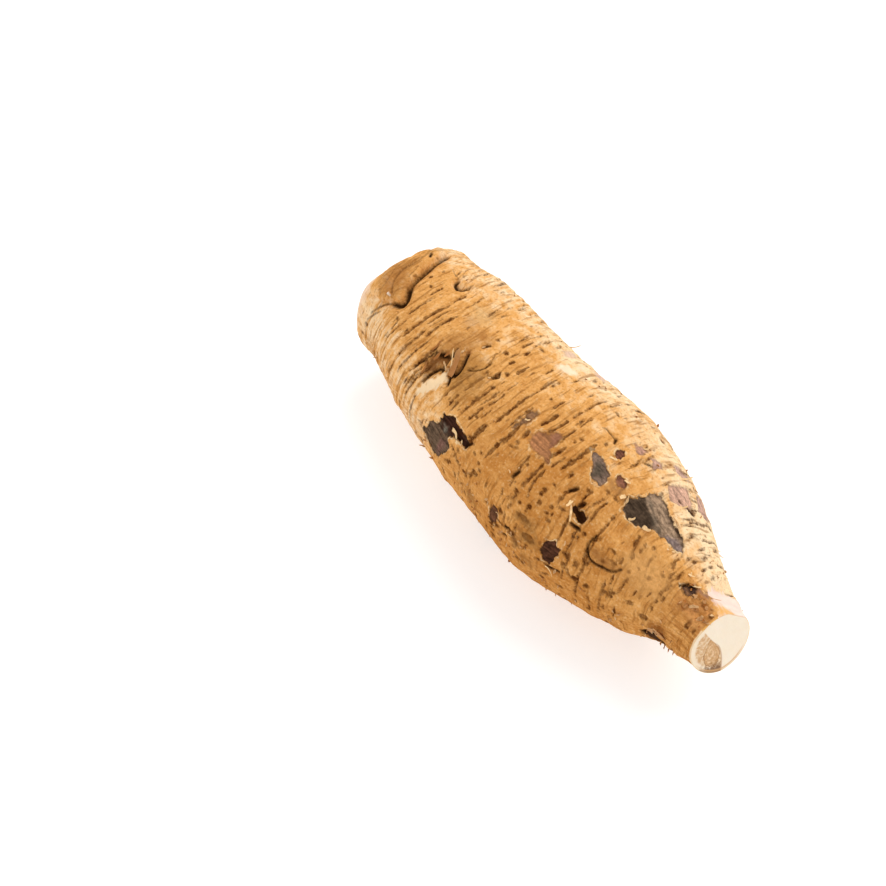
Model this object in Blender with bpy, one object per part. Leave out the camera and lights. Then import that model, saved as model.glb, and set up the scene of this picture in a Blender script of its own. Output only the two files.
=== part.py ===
"""An arrowroot tuber, dug up, trimmed and laid on its side: one solid, because it grew in one piece.

Its surface is one function of two numbers: s, how far along the root, and a, which way round it (0 on
top, growing towards -Y). Each ring of points is as wide as the root is there and follows the root's
middle line. Relief draws it in or out: growth grooves, the crown's knob and crease, rootlet pits, bark
scars and the wrinkled neck. Both ends are flat cuts, and the underside is clipped where it lies.
Lengths are in millimetres until the mesh is made. +X runs along the root, from its crown to its neck.
"""
import bpy
import numpy as np

MM = 0.001

# The body, from the crown to the cut neck: its radius, and how far its middle line lies towards +Y
STATION = np.array([-136, -127, -112, -92, -72, -52, -32, -12, 8, 28, 48, 68, 88, 108, 128, 136])
RADIUS = np.array([33.0, 33.4, 34.0, 38.5, 41.0, 42.1, 43.7, 44.5, 45.8, 46.2, 42.5, 37.4, 30.4, 21.2,
                   16.4, 15.2])
SIDEWAYS = np.array([9.0, 8.6, 6.8, 5.0, 2.8, 0.6, -1.8, -2.9, -4.5, -5.5, -6.0, -6.3, -7.8, -8.8,
                     -11.2, -12.2])
CROWN_END, NECK_END = -133.0, 133.0
AXIS_HEIGHT = 45.5
# Slow swellings: two and three round the root, each as a share of its radius and the mm in which it turns
SWELL_TWO, SWELL_TWO_TURNS = 0.011, 31
SWELL_THREE, SWELL_THREE_TURNS = 0.008, 19

# The underside: a flat spot under the root's weight, curving up towards both ends
REST_FROM, REST_TO = -46.0, 22.0
REST_CLIP, REST_EASE = 0.8, 0.8
RISE_TO_CROWN, RISE_TO_NECK = 0.0035, 0.0045

# Growth grooves run round the root, and lean towards the crown on its flanks
GROOVES = np.array([-96, -90, -86, -77, -71, -66, -59, -53, -48, -41, -35, -28, -20, -14, -4, 3, 8, 14,
                    19, 25, 31, 38, 46, 53, 59, 68, 76, 82, 88, 94, 99, 105, 111, 117])
GROOVE_DEPTH, GROOVE_WIDTH = 1.1, 1.5
SMOOTHER_FROM, SMOOTHER_TO, SMOOTHER_BY = 60, 100, 0.6
LEAN_AT = np.array([-134, -112, -90, -50, 0, 30, 56, 134])
LEAN = np.array([0.0, 5.0, 19.0, 19.0, 15.0, 8.0, 0.0, 0.0])
LEAN_TOP, LEAN_SPREAD = np.radians(5), 0.6

# The crease under the crown's knob, as places (x, degrees round) with a depth at each
CREASE_X = np.array([-116, -111, -104, -102, -101, -105, -110, -118])
CREASE_ROUND = np.array([-9, 5, 20, 28, 36, 43, 50, 72])
CREASE_DEPTH = np.array([1.6, 2.0, 3.0, 4.4, 4.8, 4.0, 2.2, 0.8])
CREASE_WIDTH = 3.0
CREASE_STEPS = 57

# Knobs and dents: x, degrees round, half length, half width, height (a dent is below 0)
LUMPS = [(-113, 27, 8, 11, 3.4), (-121, 100, 12, 18, 1.0), (-60, 150, 20, 14, 1.2), (52, -95, 18, 14, 1.2),
         (92, 140, 14, 12, 1.2), (10, -130, 22, 16, 1.1)]
PITS = [(-87, -8, 3.8, 3.8, -2.8), (-113, -8, 3.0, 3.0, -1.6), (-46, 28, 3.6, 3.2, -2.6),
        (-48, 39, 3.6, 3.2, -2.4), (83, -36, 3.4, 3.0, -2.0), (19, 48, 3.0, 3.0, -1.2),
        (-70, 205, 4.0, 4.0, -2.2), (36, -150, 4.0, 4.0, -1.8), (66, 168, 3.4, 3.4, -1.6)]

# Patches where the bark has scaled off: x, degrees round, half length, half width, depth
SCARS = [(-35, 77, 11, 12, 0.8), (19, 27, 8, 6, 0.6), (47, 12, 8, 5, 0.7), (78, 3, 14, 9, 1.0),
         (56, 43, 4, 4, 0.8), (52, 78, 4, 7, 0.7), (-78, -110, 12, 8, 0.8), (26, -95, 12, 8, 0.8)]
SCAR_RIM, SCAR_FLOOR = 0.15, 0.6

# The knife's work: the neck's two cut faces, the strip shaved off beside them, the crown's end
NECK_CUT = (132.4, -11.8, AXIS_HEIGHT)
NECK_CUT_LEANS = (-0.05, 0.19)
RIDGE_FROM, RIDGE_TO = np.radians(33.75), np.radians(191.25)
SECOND_CUT_SLOPE = 0.13
SHAVE_ROUND, SHAVE_RADIUS, SHAVE_FROM, SHAVE_EASE = np.radians(-38), 14.6, 114.0, 3.0
CROWN_CUT = (-127.5, 9.0, AXIS_HEIGHT)
CROWN_CUT_LEANS = (0.12, 0.15)
CROWN_HOLLOW = 1.5
CROWN_BULGE, CROWN_BULGE_AT, CROWN_BULGE_REACH = 4.0, (-15.0, 60.0), 14.0
CROWN_ROUNDING, CROWN_ROUNDING_LENGTH = 3.8, 9.0

# The neck's wrinkles: where they begin and are full, how high, how many round, the mm in which they turn
WRINKLES_FROM, WRINKLES_FULL, WRINKLE_HEIGHT, WRINKLES_AROUND, WRINKLE_TURNS = 106.0, 116.0, 0.4, 5, 3.6
# The ends' shapes blend into the body over these lengths, and relief fades out next to the cuts
CROWN_BLEND, NECK_BLEND = 34.0, 18.0
CROWN_FADE, NECK_FADE = 5.0, 4.0

# Points round each ring: the neck's ridge ends on two of them
AROUND = 64
# Rings near both ends, as distances from them, and on the cut faces, as shares of the rim
CROWN_RINGS = np.array([0, 1.2, 3.4, 6.2, 9, 12, 14.6, 17, 19.4, 21.8, 24.2, 26.6, 29, 31.4, 34])
NECK_RINGS = np.array([0, 4, 8, 12])
CUT_RINGS = (0.72, 0.38, 0.0)
# Turns taken to find the rim, the seed of the grooves, and the least angle of an edge that looks sharp
RIM_TURNS = 12
SEED = 11
SHARP = np.radians(40)


def along(stations, values, at):
    """A smooth line through the stations: cubic pieces that share their slope where they meet."""
    slope = np.gradient(values.astype(float), stations)
    i = np.clip(np.searchsorted(stations, at) - 1, 0, len(stations) - 2)
    gap = stations[i + 1] - stations[i]
    t = np.clip((at - stations[i]) / gap, 0, 1)
    return ((1 + 2 * t) * (1 - t) ** 2 * values[i] + t * (1 - t) ** 2 * gap * slope[i]
            + t * t * (3 - 2 * t) * values[i + 1] + t * t * (t - 1) * gap * slope[i + 1])


def rise(low, high, at):
    """0 below low, 1 above high, and a smooth step between them."""
    t = np.clip((at - low) / (high - low), 0, 1)
    return t * t * (3 - 2 * t)


def turned(a, towards):
    """The angle from one way round to another, between minus and plus half a turn."""
    return (a - towards + np.pi) % (2 * np.pi) - np.pi


def underneath(a):
    """1 straight down, falling away to 0 on the flanks."""
    return ((1 - np.cos(a)) / 2) ** 6


def girth(x, a):
    """The root's radius without relief: its stations, a belly to lie on, slow swellings and the shaving."""
    radius = along(STATION, RADIUS, x)
    lift = (RISE_TO_CROWN * np.clip(REST_FROM - x, 0, None) ** 2
            + RISE_TO_NECK * np.clip(x - REST_TO, 0, None) ** 2)
    belly = AXIS_HEIGHT + REST_CLIP - lift - radius
    belly = (belly + np.hypot(belly, REST_EASE)) / 2
    swell = (SWELL_TWO * np.cos(2 * a + x / SWELL_TWO_TURNS)
             + SWELL_THREE * np.sin(3 * a - x / SWELL_THREE_TURNS))
    radius = radius * (1 + swell * (1 - underneath(a))) + belly * underneath(a)
    facing = np.clip(np.cos(turned(a, SHAVE_ROUND)), 0.05, 1)
    shaved = np.minimum(radius, SHAVE_RADIUS / facing)
    return radius + (shaved - radius) * rise(SHAVE_FROM - SHAVE_EASE, SHAVE_FROM + SHAVE_EASE, x)


def spot(x, a, place, half_length, half_width, round_at):
    """A round hill, 1 in its middle and 0 outside, sized along and round the root."""
    across = turned(a, np.radians(round_at)) * along(STATION, RADIUS, x)
    return np.exp(-((x - place) / half_length) ** 2 - (across / half_width) ** 2)


def grooves(s, a, rng):
    """Growth grooves: each one is deeper and shallower round the root, in its own seeded way."""
    depth = np.zeros(np.broadcast(s, a).shape)
    for at in GROOVES:
        phase = rng.uniform(0, 2 * np.pi, 3)
        strength = rng.uniform(0.45, 1.0)
        wave = np.cos(a + phase[0]) + np.cos(2 * a + phase[1]) + np.cos(5 * a + phase[2])
        depth += strength * (0.35 + 0.65 * rise(-1.5, 1.5, wave)) * np.exp(-((s - at) / GROOVE_WIDTH) ** 2)
    return GROOVE_DEPTH * depth * (1 - SMOOTHER_BY * rise(SMOOTHER_FROM, SMOOTHER_TO, s))


def crease(x, a):
    """The fold where the crown's knob meets the shoulder: deepest along a curve, gone a few mm from it."""
    steps = np.linspace(0, len(CREASE_X) - 1, CREASE_STEPS)
    knot = np.arange(len(CREASE_X))
    line_x = along(knot, CREASE_X, steps)
    line_a = np.radians(along(knot, CREASE_ROUND, steps))
    deep = along(knot, CREASE_DEPTH, steps)
    radius = along(STATION, RADIUS, x)
    reach = [depth * np.exp(-((x - cx) ** 2 + (turned(a, ca) * radius) ** 2) / CREASE_WIDTH ** 2)
             for cx, ca, depth in zip(line_x, line_a, deep)]
    return np.max(reach, axis=0)


def relief(s, x, a):
    """What the skin stands out or sinks by, in mm, away from the flat spot underneath."""
    out = -grooves(s, a, np.random.default_rng(SEED)) - crease(x, a)
    for place, round_at, half_length, half_width, height in LUMPS + PITS:
        out += height * spot(x, a, place, half_length, half_width, round_at)
    for place, round_at, half_length, half_width, depth in SCARS:
        out -= depth * rise(SCAR_RIM, SCAR_FLOOR, spot(x, a, place, half_length, half_width, round_at))
    wrinkled = rise(WRINKLES_FROM, WRINKLES_FULL, x) * rise(-0.2, 0.5, turned(a, 0))
    out += WRINKLE_HEIGHT * wrinkled * np.sin(WRINKLES_AROUND * a + x / WRINKLE_TURNS)
    ends = rise(CROWN_END, CROWN_END + CROWN_FADE, s) * (1 - rise(NECK_END - NECK_FADE, NECK_END, s))
    return out * ends * (1 - underneath(a))


def section(x, radius, a):
    """A ring's places across the root, at its own height and its own distance sideways."""
    return along(STATION, SIDEWAYS, x) - radius * np.sin(a), AXIS_HEIGHT + radius * np.cos(a)


def ridge_ends():
    """Where the ridge between the neck's two cuts meets the rim, as places across the root."""
    ends = np.array([RIDGE_FROM, RIDGE_TO])
    at = np.full(2, NECK_CUT[0])
    return np.transpose(section(at, girth(at, ends), ends))


def neck_cut(y, z):
    """The neck's end over a place across the root: a flat cut, and a second one sloping off its ridge."""
    first, last = ridge_ends()
    run = (last - first) / np.linalg.norm(last - first)
    beyond = np.clip((y - first[0]) * run[1] - (z - first[1]) * run[0], 0, None)
    flat = NECK_CUT[0] - NECK_CUT_LEANS[0] * (y - NECK_CUT[1]) - NECK_CUT_LEANS[1] * (z - NECK_CUT[2])
    return flat - SECOND_CUT_SLOPE * beyond


def crown_cut(y, z):
    """The crown's end over a place across the root: a flat cut that bulges near one side of its rim."""
    flat = CROWN_CUT[0] + CROWN_CUT_LEANS[0] * (y - CROWN_CUT[1]) + CROWN_CUT_LEANS[1] * (z - CROWN_CUT[2])
    apart = np.hypot(y - CROWN_BULGE_AT[0], z - CROWN_BULGE_AT[1])
    return flat - CROWN_BULGE * np.exp(-(apart / CROWN_BULGE_REACH) ** 2)


def rim(cut, start, rounding, a):
    """Where the bare skin meets a cut: the skin's place and the cut's are taken in turns until they agree."""
    x = np.full(a.shape, start)
    for _ in range(RIM_TURNS):
        x = cut(*section(x, girth(x, a) - rounding, a))
    return x


def skin(s, a):
    """The skin at s along and a round: growth rings lean over the flanks and end square on the cuts."""
    lean = along(LEAN_AT, LEAN, s) * (1 - np.exp((np.cos(a - LEAN_TOP) - 1) / LEAN_SPREAD))
    to_neck = np.clip(1 - (NECK_END - s) / NECK_BLEND, 0, 1) ** 2
    to_crown = np.clip(1 - (s - CROWN_END) / CROWN_BLEND, 0, 1) ** 2
    x = s - lean + (rim(neck_cut, NECK_END, 0, a) - NECK_END) * to_neck
    x = x + (rim(crown_cut, CROWN_END, CROWN_ROUNDING, a) - CROWN_END) * to_crown
    rounding = CROWN_ROUNDING * np.clip(1 - (s - CROWN_END) / CROWN_ROUNDING_LENGTH, 0, 1) ** 2
    y, z = section(x, girth(x, a) + relief(s, x, a) - rounding, a)
    return np.stack([x, y, np.maximum(z, 0)], axis=-1)


def ring_places():
    """Rings at the bottom of each groove, halfway to the next, and close together at both ends."""
    between = (GROOVES[1:] + GROOVES[:-1]) / 2
    return np.sort(np.concatenate([GROOVES, between, CROWN_END + CROWN_RINGS, NECK_END - NECK_RINGS]))


def cap(edge, middle, cut, hollow):
    """Two rings and a middle point on a cut face, each ring the rim drawn in towards the middle."""
    rings = []
    for share in CUT_RINGS:
        y, z = (middle + share * (edge[:, 1:] - middle)).T
        rings.append(np.stack([cut(y, z) + hollow * (1 - share ** 2), y, z], axis=-1))
    return rings[0], rings[1], rings[2][:1]


def tuber_mesh():
    """All rings in order, from the crown's middle point to the neck's, joined by four-sided faces."""
    a = np.linspace(0, 2 * np.pi, AROUND, endpoint=False)[None, :]
    places = ring_places()[:, None]
    rings = list(skin(places, a + 0 * places))
    crown = cap(rings[0], rings[0][:, 1:].mean(axis=0), crown_cut, CROWN_HOLLOW)
    neck = cap(rings[-1], ridge_ends().mean(axis=0), neck_cut, 0.0)
    rings = [crown[2], crown[1], crown[0]] + rings + list(neck)
    points = np.concatenate(rings)
    start = np.cumsum([0] + [len(ring) for ring in rings])
    turn = [(k, (k + 1) % AROUND) for k in range(AROUND)]
    faces = [(start[0], start[1] + n, start[1] + k) for k, n in turn]
    for low, high in zip(start[1:-3], start[2:-2]):
        faces += [(low + k, low + n, high + n, high + k) for k, n in turn]
    faces += [(start[-2], start[-3] + k, start[-3] + n) for k, n in turn]
    middle = (points.max(axis=0) + points.min(axis=0)) / 2
    points = points - (middle[0], middle[1], points[:, 2].min())
    mesh = bpy.data.meshes.new("tuber")
    mesh.from_pydata((points * MM).tolist(), [], [tuple(int(v) for v in face) for face in faces])
    mesh.validate()
    return mesh


def bark():
    """Golden brown cork skin, dry and dull."""
    material = bpy.data.materials.new("cork_skin")
    material.use_nodes = True
    shader = material.node_tree.nodes["Principled BSDF"]
    shader.inputs["Base Color"].default_value = (0.62, 0.34, 0.11, 1)
    shader.inputs["Roughness"].default_value = 0.75
    shader.inputs["Metallic"].default_value = 0.0
    return material


for old in list(bpy.data.objects):
    bpy.data.objects.remove(old)
tuber = bpy.data.objects.new("tuber", tuber_mesh())
bpy.context.scene.collection.objects.link(tuber)
tuber.data.materials.append(bark())
tuber.data.shade_smooth()
tuber.data.set_sharp_from_angle(angle=SHARP)
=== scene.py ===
"""The looks of an arrowroot tuber: cork skin, cracks, old scars, curled bark, rootlets and a fresh cut.

The skin is one fine surface worked out from two numbers, as the frame's solid is: s, how far along the
root, and a, which way round it (0 on top, growing towards -Y). What marks the skin is worked out on the
same grid, as a distance in mm, and kept on the mesh, so that relief and colour agree. The cork's own
grain, mottling and freckles are patterns in its material.
Lengths are in millimetres, and are turned to metres when a mesh is made.
"""

import bpy
import numpy as np
from mathutils import Matrix, Vector


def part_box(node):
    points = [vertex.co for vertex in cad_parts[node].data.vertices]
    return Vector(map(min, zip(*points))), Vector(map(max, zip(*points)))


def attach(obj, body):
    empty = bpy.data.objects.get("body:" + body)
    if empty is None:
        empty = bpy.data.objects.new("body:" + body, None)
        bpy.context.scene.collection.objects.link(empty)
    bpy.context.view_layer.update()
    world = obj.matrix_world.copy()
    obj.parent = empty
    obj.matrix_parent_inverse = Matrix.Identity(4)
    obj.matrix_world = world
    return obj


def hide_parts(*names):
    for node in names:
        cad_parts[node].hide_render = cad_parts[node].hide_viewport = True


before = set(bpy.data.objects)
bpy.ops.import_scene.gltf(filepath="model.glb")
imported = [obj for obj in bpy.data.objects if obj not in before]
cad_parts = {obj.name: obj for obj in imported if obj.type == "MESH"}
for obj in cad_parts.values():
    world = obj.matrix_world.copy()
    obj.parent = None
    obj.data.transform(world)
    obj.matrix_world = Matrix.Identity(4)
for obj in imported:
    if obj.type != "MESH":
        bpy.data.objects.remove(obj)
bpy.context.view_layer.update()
MM = 0.001

# The body, as in the frame: its radius, and how far its middle line lies towards +Y
STATION = np.array([-136, -127, -112, -92, -72, -52, -32, -12, 8, 28, 48, 68, 88, 108, 128, 136])
RADIUS = np.array([33.0, 33.4, 34.0, 38.5, 41.0, 42.1, 43.7, 44.5, 45.8, 46.2, 42.5, 37.4, 30.4, 21.2,
                   16.4, 15.2])
SIDEWAYS = np.array([9.0, 8.6, 6.8, 5.0, 2.8, 0.6, -1.8, -2.9, -4.5, -5.5, -6.0, -6.3, -7.8, -8.8,
                     -11.2, -12.2])
CROWN_END, NECK_END = -133.0, 133.0
AXIS_HEIGHT = 45.5
REST_FROM, REST_TO = -46.0, 22.0
REST_CLIP, BELLY_BLEND = 0.8, 0.8
RISE_TO_CROWN, RISE_TO_NECK = 0.0035, 0.0045
LEAN_AT = np.array([-134, -112, -90, -50, 0, 30, 56, 134])
LEAN = np.array([0.0, 5.0, 19.0, 19.0, 15.0, 8.0, 0.0, 0.0])
LEAN_TOP, LEAN_SPREAD = np.radians(5), 0.6
# Waves that wind round the root: height in mm, turns round it, mm along it for each radian, and phase
RING_WAVES = ((0.45, 4, 21, 0), (0.3, 9, -13, 2), (0.16, 21, 5, 0))
FRAY_WAVES = ((0.26, 6, 3.6, 0), (0.2, 23, 5.0, 0))

# The knife's work at both ends, as in the frame
NECK_CUT = (132.4, -11.8, AXIS_HEIGHT)
NECK_CUT_LEANS = (-0.05, 0.19)
RIDGE_UP = np.array([-15.5, -5.0, -0.8, 5.8, 13.0])
RIDGE_ACROSS = np.array([-1.1, -0.5, -1.3, -5.1, -8.9])
SECOND_CUT_SLOPE = 0.13
SHAVE_ROUND, SHAVE_RADIUS, SHAVE_FROM, SHAVE_BLEND = np.radians(-38), 14.6, 114.0, 3
NECK_SHARES = (0.06, 0.14, 0.22, 0.31, 0.4, 0.49, 0.58, 0.67, 0.76, 0.84, 0.91, 0.965, 0.99)
CORE_SIDEWAYS, CORE_HEIGHT, CORE_HALF_WIDTH, CORE_HALF_HEIGHT = -17.0, 43.4, 4.3, 8.2
CORE_RINGS, CORE_EDGE, RIM_LINE, DRIED_RINGS = 3.5, 1.27, 0.925, 6.0
CROWN_CUT = (-127.5, 9.0, AXIS_HEIGHT)
CROWN_CUT_LEANS = (0.12, 0.15)
CROWN_HOLLOW = 1.5
CROWN_SHARES = (0.06, 0.14, 0.24, 0.36, 0.48, 0.6, 0.72, 0.83, 0.92, 0.975)
CROWN_BULGE, CROWN_BULGE_AT, CROWN_BULGE_REACH = 4.0, (-15.0, 60.0), 14.0
CROWN_ROUNDING, CROWN_ROUNDING_LENGTH = 3.8, 9.0
CROWN_BLEND, NECK_BLEND = 34.0, 18.0

# Growth rings stand out softly between these grooves, which are wide and shallow
GROOVES = np.array([-96, -90, -86, -77, -71, -66, -59, -53, -48, -41, -35, -28, -20, -14, -4, 3, 8, 14,
                    19, 25, 31, 38, 46, 53, 59, 68, 76, 82, 88, 94, 99, 105, 111, 117])
GROOVE_DEPTH, GROOVE_WIDTH, GROOVE_SEED = 0.62, 1.7, 11

# Dark cracks along the rings: s, the degrees round from which and to which they run, half width
CRACKS = [
    (-90.5, 5, 17, 0.4), (-87, 18, 38, 0.4), (-84, 42, 60, 0.3), (-78, -3, 8, 0.4), (-77, 12, 52, 0.7),
    (-73.5, 14, 32, 0.35), (-71, 36, 64, 0.5), (-68, 12, 38, 0.45), (-65, 38, 72, 0.45), (-59, 34, 60, 0.6),
    (-59, -14, -5, 0.4), (-56, 52, 74, 0.35), (-53.5, 45, 82, 0.5), (-47, 60, 96, 0.35), (-42, 34, 50, 0.3),
    (-36, 24, 40, 0.5), (-33, 27, 52, 0.55), (-30, -16, -6, 0.35), (-28, 22, 40, 0.5), (-28, 43, 54, 0.5),
    (-25, -8, -2, 0.5), (-25, 4, 9, 0.6), (-25, 47, 56, 0.45), (-20, 24, 42, 0.75), (-18, 0, 10, 0.7),
    (-16, 24, 38, 0.5), (-14, 38, 50, 0.55), (-13, 23, 35, 0.45), (-10, -12, -4, 0.4), (-5, 43, 63, 0.75),
    (-3.5, -8, 14, 0.55), (-3.5, 13, 39, 0.75), (3, 16, 33, 0.5), (7, 26, 58, 0.85), (9, -1, 9, 0.5),
    (13.5, 8, 20, 0.85), (19, -5, 3, 0.6), (19, 6, 20, 0.8), (20, -25, -8, 0.35), (23, 36, 47, 0.5),
    (25.5, -6, 4, 0.55), (25.5, 7, 24, 0.6), (30, 18, 32, 0.5), (30.5, 33, 50, 0.55), (33, 35, 48, 0.45),
    (34, 22, 32, 0.45), (37.5, 3, 29, 0.85), (46.5, 33, 42, 0.4), (53, 24, 33, 0.4), (54, 48, 66, 0.4),
    (59, 49, 66, 0.45), (61.5, 22, 40, 0.4), (61, 66, 80, 0.5), (68, 24, 62, 0.5), (68, 62, 100, 0.4),
    (80, 66, 84, 0.45), (82.5, 20, 30, 0.7), (82, 42, 48, 0.5), (82.5, 57, 67, 0.55), (85, 33, 39, 0.65),
    (86.5, 20, 30, 0.65), (88, 84, 98, 0.4), (94, 57, 64, 0.4), (99, 49, 57, 0.45), (103, 41, 46, 0.5),
    (105, 44, 51, 0.4), (103.5, 52, 57, 0.4), (104, 62, 67, 0.45), (100, 10, 18, 0.5),
]
# The hidden side's cracks lie on the same rings, in places drawn from a seed
HIDDEN_FROM, HIDDEN_TO = 112, 318
HIDDEN_CRACKS, CRACK_SEED = 90, 5
HIDDEN_SPAN, HIDDEN_HALF = (8, 34), (0.3, 0.9)

# Dark spots and short dashes: x, degrees round, half length along the root, half width round it
SPOTS = [
    (-102, 6, 0.9, 1.0), (-96, 12, 1.0, 0.7), (-101, -5, 0.7, 0.7), (-96.6, 47, 0.9, 0.7),
    (-118, 78, 1.1, 0.9), (-120.4, 91, 0.9, 0.8), (-32, 5, 1.2, 0.9), (-25, 19, 1.0, 2.2),
    (-21.6, 14, 1.0, 0.8), (-17.5, 45, 1.0, 0.6), (-16.6, 78, 1.1, 0.9), (-23.8, 86, 1.0, 1.2),
    (-10.5, 79, 1.0, 0.9), (-4, 58, 0.9, 0.8), (-7.5, 62, 1.0, 0.8), (-2.5, 64, 0.9, 0.7), (0, 67, 1.1, 0.8),
    (-3.5, 72, 1.6, 1.3), (-1.5, -6, 0.7, 0.7), (-1.5, -2, 0.8, 0.8), (4.5, 5, 0.8, 0.5), (11, 29, 1.1, 2.0),
    (10.5, 36, 0.9, 0.7), (22, 53, 0.7, 0.5), (25.5, 56, 1.6, 0.9), (30.5, 12, 0.6, 0.6),
    (31.5, 8, 0.9, 0.7), (41.5, 27, 0.7, 1.4), (36.5, 47, 0.9, 0.9), (38, 51.5, 1.1, 0.9),
    (39, 38, 0.8, 0.6), (35, 58, 1.1, 1.2), (37, 44, 1.0, 1.0), (43.5, 54, 0.9, 0.7), (46, 57, 1.3, 0.8),
    (28, -22, 1.1, 0.6), (40, -1.5, 0.8, 0.7), (54, 36, 1.3, 1.9), (57, 49.5, 2.4, 0.8),
    (63, 48.5, 1.1, 0.7), (52, 26, 1.0, 0.6), (61.5, 68, 1.0, 0.8), (53.5, 52.7, 0.9, 0.7),
    (34.5, 66.5, 3.4, 1.3), (40.5, 76, 3.2, 2.0), (31, 81, 2.4, 1.5), (68, 81.5, 1.9, 0.9),
    (63, 17, 1.4, 0.5), (58, 17.5, 0.9, 0.6), (72, -13, 1.0, 0.8), (77, -27, 1.2, 1.0),
    (71.5, -46, 0.9, 1.6), (89.5, 18, 0.7, 0.9), (100, 29, 0.8, 0.8), (88.5, 47.5, 0.7, 0.6),
    (78.5, 43.5, 1.2, 0.5), (81, 50, 1.3, 0.6), (87, 76, 0.8, 0.8), (91, 40, 0.6, 0.5),
    (102.5, 81, 1.8, 1.4), (84, 76, 0.7, 0.7), (122, 47, 1.1, 2.4), (126, 48, 0.6, 1.0), (116, 32, 0.8, 1.4),
    (127, 14, 0.8, 1.2), (127, -29, 0.7, 0.8), (93, -22, 0.5, 1.9), (99, -28, 0.5, 1.5),
    (103, -25, 0.6, 1.6), (107, -30, 0.6, 1.5), (107.5, -17, 0.6, 1.3), (103, -10, 0.6, 1.2),
    (101, -5, 0.6, 1.0), (112, -25, 0.5, 1.1), (91, -8, 0.5, 1.0), (-25, -16, 1.3, 0.6), (-42, 3, 1.0, 0.6),
]
# Small marks drawn from a seed: dashes on the rings all over, and rounder ovals low on the sides, round a
# middle place (x, degrees round) with that spread. Half lengths and half widths are in mm.
DRAWN_DASHES, DRAWN_OVALS, MARK_SEED = 340, 110, 9
DASH_LENGTH, DASH_WIDTH, OVAL_LENGTH, OVAL_WIDTH = (0.7, 2.2), (0.24, 0.48), (0.7, 1.8), (0.4, 0.9)
OVAL_PLACE, OVAL_SPREAD = (24, 78), (34, 17)
# The smooth belt by the neck goes without this share of its dashes
SMOOTH_FROM, SMOOTH_TO, SMOOTH_SHARE = 88, 104, 0.7

# Over how much of its blur a patch's colour runs into the one under it, on each side of its edge
PATCH_BLEND = 1.0

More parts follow.
